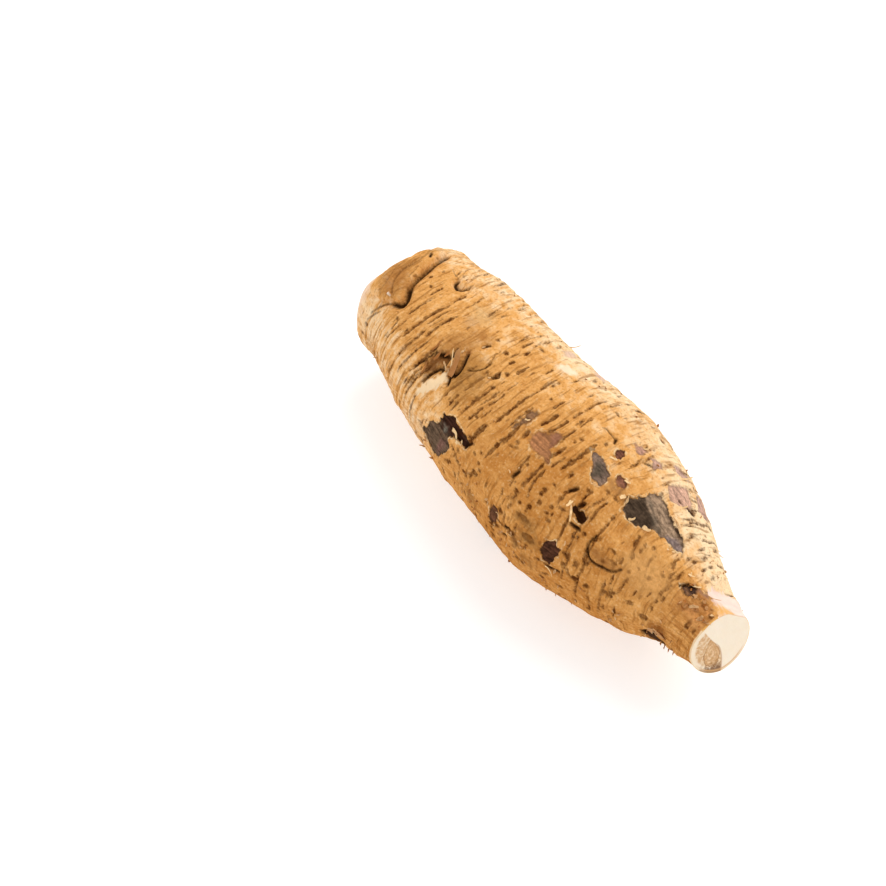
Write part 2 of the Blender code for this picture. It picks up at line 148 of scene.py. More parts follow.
# Patches with an edge of their own, as closed outlines (x, degrees round). Each has a colour, how blurred
# its edge is (1 is a torn edge), and how deep the bark has scaled off there in mm. Later ones lie on top.
PATCHES = [
    ("#64503F", 1.0, 0.8, [(-36, 65), (-35, 60), (-32, 58), (-28, 57), (-24, 58), (-20, 59), (-14, 60),
     (-15, 65), (-20.5, 66), (-26.5, 67), (-27, 73), (-24, 75), (-26, 80), (-28, 85), (-33, 92), (-37, 96),
     (-39, 92), (-43, 90), (-48.5, 86), (-47.5, 84), (-44.5, 82), (-44, 75), (-40, 71), (-37, 70)]),
    ("#3B241B", 1.2, 0.0, [(-36, 65), (-35.5, 60), (-32, 58), (-28, 56), (-24, 57), (-20, 59), (-14, 60),
     (-14.5, 65), (-20.5, 66), (-26.5, 67), (-29.5, 71), (-33.5, 70)]),
    ("#6F675A", 1.3, 0.0, [(-33, 66), (-30, 65), (-28.5, 68), (-31.5, 70)]),
    ("#75564A", 1.4, 0.0, [(-31, 76), (-28, 75), (-28.5, 80), (-31, 86), (-34, 91), (-36, 94), (-34.5, 86),
     (-33, 80)]),
    ("#9A8068", 1.0, 0.95, [(70.5, -9), (72, -12), (75, -12), (78.5, -12), (82.5, -10), (87, -9), (92, -10),
     (96, -8), (97, -3), (96, 2), (92, 4), (88, 6), (83.5, 9), (80, 13), (77, 18), (72.5, 20), (69.5, 20),
     (68, 18), (67.5, 15), (65, 10), (67.5, 7), (69.5, -1), (69, -6)]),
    ("#46382C", 1.2, 0.0, [(65, 10), (67.5, 7), (69.5, -1), (73, 1), (78, 3), (83, 6), (83.5, 9), (80, 13),
     (77, 18), (72.5, 20), (69.5, 20), (68, 18), (67.5, 15)]),
    ("#6E5E4E", 1.3, 0.0, [(70, -4), (73, -3), (80, 1), (86, 4), (84, 7), (78, 3), (72, 0)]),
    ("#82706A", 1.3, 0.0, [(88, 0), (92, -5), (96, -7), (97, -3), (96, 2), (92, 4), (88, 5)]),
    # Painted shadow: a dark band just inside the scar's edge on the side the light comes from, under the
    # bark's edge
    ("#3E2C22", 1.2, 0.0, [(78.5, -12), (82.5, -11), (87, -10), (92, -10), (92, -9), (87, -8), (82.5, -9),
     (78.5, -10)]),
    ("#A4704A", 1.5, 0.3, [(14.5, 30), (13, 26), (15, 22), (19, 20), (20.5, 16), (25, 16), (26, 20),
     (25.5, 25), (28, 28), (29.5, 31), (25, 32), (20.5, 34)]),
    ("#8E604C", 1.8, 0.0, [(20.5, 16), (25, 17), (25.5, 20), (25.5, 25), (22.5, 22), (20.5, 19)]),
    ("#8A6547", 1.5, 0.35, [(2.5, 33), (3, 25), (3.5, 18), (6, 16), (8, 18), (7, 23), (6, 28), (3.5, 32)]),
    ("#80695A", 1.1, 0.55, [(38, 8), (39.5, 7), (43, 6), (47, 7), (51, 8), (54, 11), (55, 15), (53, 18),
     (50, 20), (47, 18), (45, 14), (42, 11)]),
    ("#564A3E", 1.3, 0.0, [(43, 8), (47, 8), (50, 10), (50.5, 15), (49, 18), (47, 17), (45, 13)]),
    ("#3A2114", 1.0, 0.8, [(51, 39), (54, 39), (57, 38), (60.5, 40), (60.5, 45), (58, 46), (54, 44),
     (52, 42)]),
    ("#4E3123", 1.0, 0.55, [(48, 77), (49, 70), (51, 68), (53.5, 65), (55, 68), (57.5, 68), (57, 74),
     (56.5, 79), (54.5, 84), (51, 84), (49, 80)]),
    ("#65432F", 1.3, 0.4, [(14, 80), (16.5, 76), (20, 76), (21, 80), (19.5, 86), (17, 90), (14, 88)]),
    ("#7A4E3C", 1.1, 0.5, [(45, -4), (45, -8), (46.5, -9), (49, -6), (49.5, -2), (48, 0)]),
    ("#7E5340", 1.2, 0.5, [(55.5, 8), (55.5, 4), (58, 4), (62, 6), (61, 10), (58, 11)]),
    ("#A8794A", 3.0, 0.2, [(54, 11), (58, 10), (62, 10), (64.5, 12), (61, 14), (56, 15)]),
    ("#5A4236", 1.2, 0.6, [(107.5, 20), (110, 12), (113, 6), (115, 8), (115.5, 15), (114, 24), (111, 26)]),
    ("#2C1A12", 1.3, 0.3, [(109.5, 14), (111.5, 8), (114.5, 8), (114, 13), (112, 16)]),
    ("#A07864", 1.6, 0.25, [(113, 5), (115, 0), (118, -4), (120, 1), (118, 7), (115.5, 7)]),
    ("#9A6434", 2.4, 0.3, [(69, 54), (72, 50), (78, 50), (82, 52), (80, 58), (72, 59)]),
    ("#B98D79", 1.5, 0.3, [(45.5, -18), (47, -21), (50.5, -23), (52.5, -20), (51.5, -16), (48.5, -16)]),
    ("#C8A08C", 1.5, 0.3, [(54, -22), (55.5, -26), (58.5, -29), (60.5, -25), (59, -20)]),
    ("#CCA795", 1.5, 0.3, [(59, -39), (59.5, -46), (62, -53), (66.5, -52), (66, -44), (63.5, -38)]),
    ("#CBA18A", 1.4, 0.4, [(70, -21), (69, -30), (71, -40), (74.5, -41), (79, -41), (82, -33), (80, -27),
     (78, -18), (75, -17)]),
    ("#C29C8A", 1.4, 0.4, [(73, -54), (72, -69), (77, -74), (83, -72), (86, -53), (82, -46)]),
    ("#6A3C22", 1.4, 0.3, [(80, -32), (82.5, -36), (85.5, -35), (83, -30)]),
    ("#D9B8A6", 1.9, 0.2, [(-24, -35), (-25, -42), (-23, -46), (-19, -42), (-18, -35), (-20.5, -32)]),
    ("#D2AFA0", 2.0, 0.2, [(-8.5, -46), (-11, -56), (-8, -62), (1.5, -43), (-2.5, -39)]),
    ("#B98C62", 4.0, 0.1, [(-64, 6), (-61, 3), (-57, 5), (-57.5, 10), (-62, 11)]),
    ("#DDB47E", 5.0, 0.0, [(-67, -2), (-61, -8), (-55, -2), (-57, 4), (-63, 5)]),
    ("#AE743C", 4.0, 0.1, [(-57, 12), (-50, 5), (-45, 5), (-44, 10), (-47.5, 13), (-52, 16)]),
    ("#A8713B", 6.0, 0.2, [(-60, 22), (-52, 14), (-47, 15), (-45, 21), (-49, 24), (-52, 30), (-58, 33)]),
    ("#A8743A", 5.0, 0.0, [(-46, 22), (-38, 19), (-28, 23), (-26, 36), (-34, 46), (-42, 46), (-45, 38)]),
    ("#724420", 1.8, 0.8, [(-66, 50), (-63, 42), (-58, 34), (-54, 34), (-52, 39), (-55, 44), (-57, 52),
     (-60, 55), (-62, 50)]),
    ("#A56C36", 4.0, 0.0, [(-122, 17), (-114, 14), (-107, 20), (-104, 30), (-108, 41), (-114, 44),
     (-121, 38)]),
    ("#7A542C", 3.0, 0.1, [(30, 66), (41, 65), (42, 70), (32, 70)]),
    ("#7D582E", 3.0, 0.15, [(35, 75), (47, 74), (46, 80), (37, 80)]),
    ("#8A6238", 4.0, 0.1, [(-6, 90), (-1, 89), (0, 95), (-5, 97)]),
    ("#6E4A2A", 2.5, 0.3, [(31, 83), (35, 80), (37, 88), (33, 90)]),
    ("#8C6236", 4.0, 0.1, [(40, 91), (45, 92), (44, 97), (39, 96)]),
    ("#DA9A5C", 3.0, 0.0, [(112, 38), (110, 26), (116.5, 20), (116, 10), (122, 0), (127, 1), (129, 13),
     (129, 30), (129, 43), (123, 45), (117, 42)]),
    ("#94582A", 2.6, 0.3, [(116, 14), (119, 6), (123, 4), (124, 9), (120, 17)]),
    ("#9C6430", 2.6, 0.3, [(121, 24), (124, 16), (127, 18), (126.5, 27), (123, 29)]),
    ("#DAA262", 6.0, 0.0, [(84, 28), (92, 22), (102, 24), (106, 34), (104, 50), (96, 56), (88, 52),
     (84, 42)]),
    ("#4A3222", 1.6, 0.5, [(101, 107), (105, 103), (109, 109), (113, 118), (112, 127), (105, 124)]),
    ("#746A62", 1.0, 0.7, [(-88, -112), (-80, -122), (-70, -116), (-66, -104), (-74, -98), (-84, -101)]),
    ("#8F6A50", 1.2, 0.6, [(16, -98), (24, -106), (36, -100), (34, -90), (24, -85), (17, -90)]),
    ("#51413A", 1.1, 0.6, [(-20, 150), (-10, 143), (2, 147), (4, 156), (-8, 162), (-18, 158)]),
    ("#9B7A62", 1.6, 0.4, [(70, 172), (80, 166), (88, 174), (82, 184), (72, 182)]),
]
# Bare flesh, gum and other pale places, as patches
PALE_PATCHES = [
    ("#F0CFA2", 2.0, 0.5, [(-60, 67), (-58.5, 62), (-57.5, 58), (-54, 52), (-52, 47), (-51, 43),
     (-49.5, 41), (-47, 42), (-46, 46), (-47.5, 52), (-50.5, 59), (-55, 66), (-60.5, 70)]),
    ("#F6DDBA", 3.4, 0.15, [(-13, -15), (-14, -20), (-11.5, -24), (-7, -25), (-4, -24), (-4.5, -18),
     (-7.5, -14), (-10, -14)]),
    ("#F3D8B2", 3.6, 0.1, [(-10.5, -31), (-11, -38), (-7.5, -37), (-6, -31)]),
    ("#E8C09A", 5.0, 0.0, [(-138, 32), (-129, 36), (-126, 45), (-125, 60), (-126, 76), (-127.5, 93),
     (-131, 112), (-140, 118), (-142, 70)]),
    ("#F2D5C7", 1.7, 0.2, [(115, -8), (114, -20), (115, -42), (117, -58), (121, -72), (135, -78), (135, 3),
     (129, 2), (125.5, -2), (121, -4), (117, -6)]),
    ("#E4A853", 3.0, 0.0, [(124, -2), (124, -12), (126, -24), (128.5, -32), (131, -29), (131, -12),
     (130, -2), (127.5, 2)]),
    ("#F7EBD9", 1.0, 0.0, [(-111, 39), (-110, 39), (-109, 40), (-110, 41), (-111, 41)]),
]

# Furrows and holes, as a line of places (x, degrees round): width and depth in mm, how dark their painted
# shade is, the line
FURROWS = [
    (1.5, 2.0, 0.8, [(-112.5, -24), (-111, -15), (-109.5, -8), (-108, 0), (-106.5, 10), (-105, 18),
     (-103, 25)]),
    (1.9, 3.2, 1.0, [(-103, 26), (-100.5, 31), (-99.5, 36), (-101.5, 40), (-105.5, 43)]),
    (1.0, 1.2, 0.72, [(-105.5, 43), (-110, 48), (-113, 54), (-117.5, 66)]),
    (0.8, 0.9, 0.72, [(-111.5, 57), (-115, 65), (-118.5, 74)]),
    (1.1, 1.8, 0.95, [(-115, -8), (-113.5, -5)]),
    (1.3, 1.1, 0.5, [(-119, -14), (-115, -2), (-114, 10), (-115, 20), (-113, 31), (-109, 37)]),
    (1.1, 0.9, 0.42, [(-124, -6), (-120, 8), (-119, 22), (-117, 36), (-116, 46)]),
    (0.8, 0.6, 0.5, [(-111, 8), (-109, 17), (-108, 20)]),
    (1.5, 3.0, 1.0, [(-90.5, -9), (-89.5, -5), (-86.5, -3), (-83.5, -4), (-82.5, -9)]),
    (1.1, 1.2, 0.65, [(-82.5, -9), (-83.5, -14)]),
    (0.9, 0.7, 0.5, [(-100.5, -14), (-96, -11), (-91.5, -10)]),
    (1.6, 4.2, 1.0, [(-47, 24), (-45, 29), (-43.5, 34), (-44, 39), (-46, 40), (-49, 40)]),
    (1.7, 2.4, 1.0, [(-46, 41), (-44.5, 44), (-43.5, 46)]),
    (0.8, 1.0, 0.9, [(-68, 58), (-64.5, 48), (-62, 38)]),
    (2.0, 2.0, 0.9, [(-61.5, 40), (-58, 37), (-55, 35)]),
    (1.4, 1.6, 0.9, [(-59, 60), (-57, 52), (-54, 45), (-51.5, 42)]),
    (1.5, 2.2, 1.0, [(-52, 44), (-52.5, 38), (-53, 32), (-53.5, 27)]),
    (0.8, 0.8, 0.85, [(-39.5, 30), (-35.5, 26), (-33, 21), (-32.5, 16)]),
    (1.1, 1.6, 0.95, [(-44, 13), (-42, 9)]),
    (1.0, 1.1, 0.8, [(-27.5, 23), (-25, 21), (-23.5, 19), (-24.5, 17)]),
    (1.0, 1.2, 1.0, [(-24, 66), (-18.5, 64)]),
    (1.1, 1.5, 1.0, [(-15, 65), (-12.5, 60)]),
    (1.4, 1.8, 1.0, [(19, 52), (20.5, 47)]),
    (1.5, 1.8, 1.0, [(45.5, 34), (47.5, 30)]),
    (2.2, 0.8, 0.75, [(53.5, 40), (58, 43)]),
    (1.2, 1.0, 0.95, [(53, 38), (55, 33)]),
    (1.3, 1.1, 0.95, [(55.5, 49), (60, 49)]),
    (0.9, 0.9, 0.75, [(31.5, -8), (35.5, -9), (39.5, -9)]),
    (1.2, 1.2, 0.95, [(39.5, -10), (41, -7)]),
    (1.0, 1.0, 1.0, [(52.5, 88), (56.5, 86), (60, 85)]),
    (1.2, 1.4, 1.0, [(26, 82), (29, 80)]),
    (1.3, 1.6, 1.0, [(25, 90), (27.5, 88)]),
    (1.3, 1.4, 1.0, [(14.5, 96), (17.5, 95)]),
    (1.1, 1.2, 0.9, [(67.5, 45), (67, 53), (69, 59), (72.5, 61), (77, 60), (82.5, 57), (85, 51)]),
    (1.2, 0.8, 0.8, [(56, -16), (58, -19)]),
    (1.0, 0.9, 0.8, [(76, -26), (78, -28)]),
    (1.4, 1.2, 0.85, [(80.5, -33), (84, -36)]),
    (1.0, 0.8, 0.75, [(47.5, -27), (49.5, -24)]),
    (1.6, 1.4, 1.0, [(102, 108), (105.5, 104), (108.5, 109), (111.5, 117)]),
    (1.1, 0.9, 0.9, [(107.5, 22), (109.5, 12), (112.5, 6)]),
    (2.4, 2.6, 0.9, [(-71.5, 203), (-69, 208)]),
    (2.2, 2.2, 0.9, [(35, -152), (37, -148)]),
    (2.0, 1.8, 0.9, [(65, 166), (67, 171)]),
]
# Steps between two places of a furrow, and how wide its painted shade lies for its width
FURROW_STEPS, FURROW_SHADE_SPREAD = 12, 0.8

# Raised places whose outline stands out sharply: height, how far in from the edge it is reached, outline
PLATES = [
    (3.6, 6.0, [(-142, -24), (-113.5, -24), (-112, -15), (-110.5, -7), (-108.5, 1), (-107, 10),
     (-105.5, 18), (-104, 25), (-101.5, 30), (-101, 36), (-103, 40), (-106.5, 42), (-110.5, 46),
     (-114.5, 50), (-120, 52), (-142, 52)]),
    (0.9, 6.0, [(68, 44), (68, 52), (69.5, 58), (73, 59), (77, 58), (82, 56), (84.5, 48), (83.5, 37),
     (77, 32), (70.5, 35)]),
    (1.1, 2.4, [(-55, 43), (-52.5, 38), (-52, 33), (-50, 31), (-49, 36), (-51, 41)]),
    (0.9, 1.4, [(-89, -9), (-88.5, -7), (-86.5, -5), (-85, -7), (-84.5, -10), (-86.5, -13), (-88.5, -12)]),
]
# Knobs and swellings: x, degrees round, half length, half width, height
LUMPS = [(-108, 27, 5.0, 6.0, 1.7), (-118, 4, 5, 7, 1.0), (-122, 26, 4, 7, 0.9),
         (-110, 40, 0.95, 0.95, 1.3), (-27.5, 67, 1.2, 1.2, 0.3), (-25.6, 19.4, 1.0, 1.0, 0.5),
         (-66, 24, 16, 9, 0.7), (-40, 46, 9, 9, 0.6), (-86.8, -9.5, 1.4, 1.4, 0.9),
         (-121, 100, 12, 18, 1.0), (-60, 150, 20, 14, 1.2), (52, -95, 18, 14, 1.2),
         (92, 140, 14, 12, 1.2), (10, -130, 22, 16, 1.1)]

# Ribs: thin lines close together over the crown's flanks, with raised skin between them
RIB_FROM, RIB_TO, RIB_GAP, RIB_DEPTH, RIB_WIDTH, RIB_SEED = -114, -40, 3.6, 0.55, 0.85, 4
# How much painted shade darkens the rib grooves: in the cork's tone, and as in the furrows
RIB_SHADE_IN_TONE, RIB_SHADE_IN_HOLLOWS = 0.5, 0.36

# Small relief in mm: cracks, other marks, the skin raised beside them, and the lip round a torn patch
CRACK_DEPTH, MARK_DEPTH, MARK_RIM, TORN_LIP = 0.5, 0.4, 0.12, 0.3
# Bare flesh at the neck's rim: how wide, and how ragged its edge is, in mm
RIM_BARE, RIM_RAGGED = 1.2, 0.3
# Seeded unevenness: longest and shortest wave in mm, how many waves, and the seed
EDGE_WANDER, RING_WAVER, SWELLS, BUMPS = (7, 1.8, 40, 3), (4, 1.5, 30, 4), (26, 8, 30, 1), (5, 1.8, 60, 2)
RING_WAVER_SIZE, SWELL_HEIGHT, BUMP_HEIGHT = 0.25, 0.22, 0.09
# How pale the cork is, 0 to 1, and how far painted light on the lit side and on the crown's flank and painted
# shade low on the belly shift it
CORK_TONE, LIT_SIDE_PAINTED_PALER, CROWN_FLANK_PAINTED_PALER, BELLY_PAINTED_SHADE = 0.46, 0.54, 0.38, 0.36

# The grid: rings no further apart than this, points round each ring, closer on the side that is seen.
# Distances to a mark count no further than FAR, and a rim is found in so many turns.
RING_GAP = 0.82
AROUND, CLOSER, CLOSER_ROUND = 254, 0.28, np.radians(30)
FAR = 3.0
RIM_TURNS = 12


def along(stations, values, at):
    """A smooth line through the stations: cubic pieces that share their slope where they meet."""
    slope = np.gradient(values.astype(float), stations)
    i = np.clip(np.searchsorted(stations, at) - 1, 0, len(stations) - 2)
    gap = stations[i + 1] - stations[i]
    t = np.clip((at - stations[i]) / gap, 0, 1)
    return ((1 + 2 * t) * (1 - t) ** 2 * values[i] + t * (1 - t) ** 2 * gap * slope[i]
            + t * t * (3 - 2 * t) * values[i + 1] + t * t * (t - 1) * gap * slope[i + 1])


def rise(low, high, at):
    """0 below low, 1 above high, and a smooth step between them."""
    t = np.clip((at - low) / (high - low), 0, 1)
    return t * t * (3 - 2 * t)


def turned(a, towards):
    """The angle from one way round to another, between minus and plus half a turn."""
    return (a - towards + np.pi) % (2 * np.pi) - np.pi


def underneath(a):
    """1 straight down, falling away to 0 on the flanks."""
    return ((1 - np.cos(a)) / 2) ** 6


def girth(x, a):
    """The root's radius without relief: its stations, a belly to lie on, slow swellings and the shaving."""
    radius = along(STATION, RADIUS, x)
    lift = (RISE_TO_CROWN * np.clip(REST_FROM - x, 0, None) ** 2
            + RISE_TO_NECK * np.clip(x - REST_TO, 0, None) ** 2)
    belly = AXIS_HEIGHT + REST_CLIP - lift - radius
    belly = (belly + np.hypot(belly, BELLY_BLEND)) / 2
    swell = (0.011 * np.cos(2 * a + x / 31) + 0.008 * np.sin(3 * a - x / 19)) * (1 - underneath(a))
    radius = radius * (1 + swell) + belly * underneath(a)
    facing = np.clip(np.cos(turned(a, SHAVE_ROUND)), 0.05, 1)
    shaved = np.minimum(radius, SHAVE_RADIUS / facing)
    return radius + (shaved - radius) * rise(SHAVE_FROM - SHAVE_BLEND, SHAVE_FROM + SHAVE_BLEND, x)


def section(x, radius, a):
    """A ring's places across the root, at its own height and its own distance sideways."""
    return along(STATION, SIDEWAYS, x) - radius * np.sin(a), AXIS_HEIGHT + radius * np.cos(a)


def past_ridge(y, z):
    """How far a place on the neck's end is beyond the curved ridge, on the second cut's side."""
    return NECK_CUT[1] + along(RIDGE_UP, RIDGE_ACROSS, z - NECK_CUT[2]) - y


def neck_cut(y, z):
    """The neck's end over a place across the root: a flat cut, and a second one sloping off its ridge."""
    flat = NECK_CUT[0] - NECK_CUT_LEANS[0] * (y - NECK_CUT[1]) - NECK_CUT_LEANS[1] * (z - NECK_CUT[2])
    return flat - SECOND_CUT_SLOPE * np.clip(past_ridge(y, z), 0, None)


def crown_cut(y, z):
    """The crown's end over a place across the root: a flat cut that bulges near one side of its rim."""
    flat = CROWN_CUT[0] + CROWN_CUT_LEANS[0] * (y - CROWN_CUT[1]) + CROWN_CUT_LEANS[1] * (z - CROWN_CUT[2])
    apart = np.hypot(y - CROWN_BULGE_AT[0], z - CROWN_BULGE_AT[1])
    return flat - CROWN_BULGE * np.exp(-(apart / CROWN_BULGE_REACH) ** 2)


def rim(cut, start, rounding, a):
    """Where the bare skin meets a cut: the skin's place and the cut's are taken in turns until they agree."""
    x = np.full(a.shape, start)
    for _ in range(RIM_TURNS):
        x = cut(*section(x, girth(x, a) - rounding, a))
    return x


def winding(waves, x, a):
    """The sum of those waves, in mm."""
    return sum(height * np.sin(turns * a + x / reach + phase) for height, turns, reach, phase in waves)


def ring_line(s, a):
    """Where along the root ring s lies: it leans over the flanks, wavers a little, and ends on the cuts."""
    lean = along(LEAN_AT, LEAN, s) * (1 - np.exp((np.cos(a - LEAN_TOP) - 1) / LEAN_SPREAD))
    to_neck = np.clip(1 - (NECK_END - s) / NECK_BLEND, 0, 1) ** 2
    to_crown = np.clip(1 - (s - CROWN_END) / CROWN_BLEND, 0, 1) ** 2
    free = rise(CROWN_END, CROWN_END + 20, s) * (1 - rise(NECK_END - 20, NECK_END, s))
    x = s - lean + winding(RING_WAVES, s, a) * free
    x = x + (rim(neck_cut, NECK_END, 0, a) - NECK_END) * to_neck
    return x + (rim(crown_cut, CROWN_END, CROWN_ROUNDING, a) - CROWN_END) * to_crown


def ripple(places, longest, shortest, waves, seed):
    """A smooth seeded roughness of about minus to plus 1: plane waves in every direction, added up."""
    rng = np.random.default_rng(seed)
    length = np.exp(rng.uniform(np.log(shortest), np.log(longest), waves))
    heading = rng.normal(size=(waves, 3))
    heading *= (2 * np.pi / length / np.linalg.norm(heading, axis=1))[:, None]
    return np.sin(places @ heading.T + rng.uniform(0, 2 * np.pi, waves)).sum(axis=-1) * np.sqrt(1 / waves)


def grooves(s, a):
    """Growth grooves: each one is deeper and shallower round the root, in its own seeded way."""
    rng = np.random.default_rng(GROOVE_SEED)
    depth = np.zeros(np.broadcast(s, a).shape)
    for at in GROOVES:
        phase = rng.uniform(0, 2 * np.pi, 3)
        strength = rng.uniform(0.45, 1.0)
        wave = np.cos(a + phase[0]) + np.cos(2 * a + phase[1]) + np.cos(5 * a + phase[2])
        depth += strength * (0.35 + 0.65 * rise(-1.5, 1.5, wave)) * np.exp(-((s - at) / GROOVE_WIDTH) ** 2)
    return GROOVE_DEPTH * depth * (1 - 0.6 * rise(60, 100, s))


def hidden_cracks():
    """Cracks for the side that faces away: on the rings that carry one in front, at seeded places."""
    rng = np.random.default_rng(CRACK_SEED)
    rings = np.array([crack[0] for crack in CRACKS])
    for _ in range(HIDDEN_CRACKS):
        first = rng.uniform(HIDDEN_FROM, HIDDEN_TO)
        yield rng.choice(rings), first, first + rng.uniform(*HIDDEN_SPAN), rng.uniform(*HIDDEN_HALF)


def ring_places():
    """Rings of the grid: on every crack, and as many between each two as keep them close."""
    ends = np.unique([CROWN_END, NECK_END] + [crack[0] for crack in CRACKS])
    spans = [np.linspace(low, high, int(np.ceil((high - low) / RING_GAP)), endpoint=False)
             for low, high in zip(ends[:-1], ends[1:])]
    return np.concatenate(spans + [[NECK_END]])


def ribs(s, a):
    """Thin grooves close together over both flanks of the crown, gone on top: near 1 in each of them."""
    rng = np.random.default_rng(RIB_SEED)
    depth = np.zeros(s.shape)
    flank = rise(0.3, 0.75, np.abs(np.sin(a)))
    for at in np.arange(RIB_FROM, RIB_TO, RIB_GAP):
        ring = at + rng.uniform(-0.7, 0.7)
        wave = 0.5 + 0.5 * np.sin(3 * a + rng.uniform(0, 2 * np.pi))
        depth += (0.3 + 0.7 * wave) * np.exp(-((s - ring) / RIB_WIDTH) ** 2)
    return depth * flank


def in_cracks(s, a):
    """How far inside the nearest crack a place is, in mm: each one is a band on its ring with blunt ends,
    wider and narrower by turns, so that a thin one breaks into dashes."""
    rng = np.random.default_rng(CRACK_SEED + 1)
    degrees = np.degrees(a)
    best = np.full(s.shape, -FAR)
    for ring, first, last, half in CRACKS + list(hidden_cracks()):
        t = ((degrees - (first + last) / 2 + 180) % 360 - 180) / ((last - first) / 2)
        phase = rng.uniform(0, 2 * np.pi, 3)
        uneven = (0.86 + 0.24 * np.sin(degrees / 2.6 + phase[0]) + 0.26 * np.sin(degrees / 0.9 + phase[1])
                  + 0.12 * np.sin(degrees / 0.4 + phase[2]))
        band = half * uneven * (1 - np.minimum(t ** 8, 8))
        best = np.maximum(best, band - np.abs(s - ring))
    return best


def in_spots(x, a, radius):
    """How far inside the nearest spot a place is, in mm."""
    best = np.full(x.shape, -FAR)
    for place, round_at, half_length, half_width in SPOTS:
        across = turned(a, np.radians(round_at)) * radius
        reach = np.hypot((x - place) / half_length, across / half_width)
        best = np.maximum(best, (1 - reach) * min(half_length, half_width))
    return best


def drawn_marks():
    """Small marks at seeded places: s, way round, half length, half width, and its angle off the ring.
    Dashes lie on the grid's rings near a growth ring, fewer where the neck is smooth. Ovals lie low on
    both sides."""
    rng = np.random.default_rng(MARK_SEED)
    rings = np.concatenate([GROOVES, [crack[0] for crack in CRACKS]])
    grid = ring_places()
    for _ in range(DRAWN_DASHES):
        s, a = rng.choice(rings) + rng.normal(0, 0.7), rng.uniform(0, 2 * np.pi)
        s = grid[np.argmin(np.abs(grid - s))]
        length, width, tilt = rng.uniform(*DASH_LENGTH) ** 1.2, rng.uniform(*DASH_WIDTH), rng.normal(0, 0.12)
        if not (SMOOTH_FROM < s < SMOOTH_TO and rng.uniform() < SMOOTH_SHARE):
            yield s, a, length, width, tilt
    for _ in range(DRAWN_OVALS):
        side = 1 if rng.uniform() < 0.6 else -1
        s, degrees = (rng.normal(middle, spread) for middle, spread in zip(OVAL_PLACE, OVAL_SPREAD))
        yield (s, side * np.radians(degrees), rng.uniform(*OVAL_LENGTH), rng.uniform(*OVAL_WIDTH),
               rng.uniform(-1.5, 1.5))


def in_drawn_marks(s, a, radius):
    """How far inside the nearest seeded mark a place is, in mm. Each is an ellipse with blunt ends."""
    best = np.full(s.shape, -FAR)
    for ring, round_at, length, width, tilt in drawn_marks():
        across, forward = turned(a, round_at) * radius, s - ring
        u = (across * np.cos(tilt) + forward * np.sin(tilt)) / length
        v = (forward * np.cos(tilt) - across * np.sin(tilt)) / width
        best = np.maximum(best, (1 - (np.abs(u) ** 3 + np.abs(v) ** 3) ** (1 / 3)) * width)
    return best


def within(x, a, outline):
    """How far inside a closed outline a place is, in mm, and negative outside it. The outline is laid flat
    at the root's radius in its middle: the nearest side gives the distance, crossings give the sign."""
    corner = np.array(outline, float)
    middle = corner.mean(axis=0)
    radius = along(STATION, RADIUS, middle[:1])[0]
    corner[:, 1] = np.radians(corner[:, 1] - middle[1]) * radius
    across = turned(a, np.radians(middle[1])) * radius
    apart = np.full(x.shape, np.inf)
    odd = np.zeros(x.shape, bool)
    for (x0, y0), (x1, y1) in zip(corner, np.roll(corner, -1, axis=0)):
        run, climb = x1 - x0, (y1 - y0) or 1e-9
        t = np.clip(((x - x0) * run + (across - y0) * climb) / (run * run + climb * climb), 0, 1)
        apart = np.minimum(apart, np.hypot(x - x0 - t * run, across - y0 - t * climb))
        odd ^= ((y0 > across) != (y1 > across)) & (x < x0 + (across - y0) * run / climb)
    return np.where(odd, apart, -apart)


def in_furrows(x, a, radius):
    """Depth and painted shade of the furrows and holes: each is deepest on its line, and gone two widths from
    it, and its painted shade lies a little closer in."""
    deepest, painted_shade = np.zeros(x.shape), np.zeros(x.shape)
    for wide, deep, dark, line in FURROWS:
        knot = np.arange(len(line))
        step = np.linspace(0, len(line) - 1, FURROW_STEPS * (len(line) - 1) + 1)
        place, round_at = np.array(line, float).T
        line_x, line_a = along(knot, place, step), np.radians(along(knot, round_at, step))
        ends = 0.45 + 0.55 * np.sin(np.pi * np.clip(step / step[-1], 0.12, 0.88)) ** 0.5
        for at, turn, share in zip(line_x, line_a, ends):
            apart = (x - at) ** 2 + (turned(a, turn) * radius) ** 2
            deepest = np.maximum(deepest, deep * share * np.exp(-apart / wide ** 2))
            painted_shade = np.maximum(painted_shade, dark * share ** 0.5 * np.exp(-apart / (FURROW_SHADE_SPREAD * wide) ** 2))
    return deepest, painted_shade


def plates(x, a):
    """Height of the raised places: a quarter circle from the edge up to the full height further in."""
    height = np.zeros(x.shape)
    for full, shoulder, outline in PLATES:
        t = np.clip(within(x, a, outline) / shoulder, 0, 1)
        height = np.maximum(height, full * np.sqrt(t * (2 - t)))
    return height


def linear(colour):
    """An sRGB hex colour as linear red, green and blue."""
    value = np.array([int(colour[i:i + 2], 16) for i in (1, 3, 5)]) / 255
    return np.where(value <= 0.04045, value / 12.92, ((value + 0.055) / 1.055) ** 2.4)


def paint(x, a, wobble, patches):
    """How far inside the nearest patch a place is (a blurred edge counts in longer steps), that patch's
    colour, how torn its edge is from 0 to 1, and how deep the bark has scaled off. Where two patches
    overlap, the colours run into each other along the upper one's edge."""
    best = np.full(x.shape, -FAR)
    colour = np.zeros(x.shape + (3,)) + linear(patches[0][0])
    torn, depth = np.zeros(x.shape), np.zeros(x.shape)
    for hex_colour, blur, deep, outline in patches:
        inside = within(x, a, outline) + 0.5 * wobble * min(blur, 2)
        depth = np.maximum(depth, deep * rise(-0.3, 0.5, inside))
        share = np.where(best > 0, rise(-PATCH_BLEND, PATCH_BLEND, inside / blur), inside / blur > best)
        colour = colour + share[..., None] * (linear(hex_colour) - colour)
        torn = torn + share * (rise(2.0, 1.1, blur) - torn)
        best = np.maximum(best, inside / blur)
    return best, colour, torn, depth


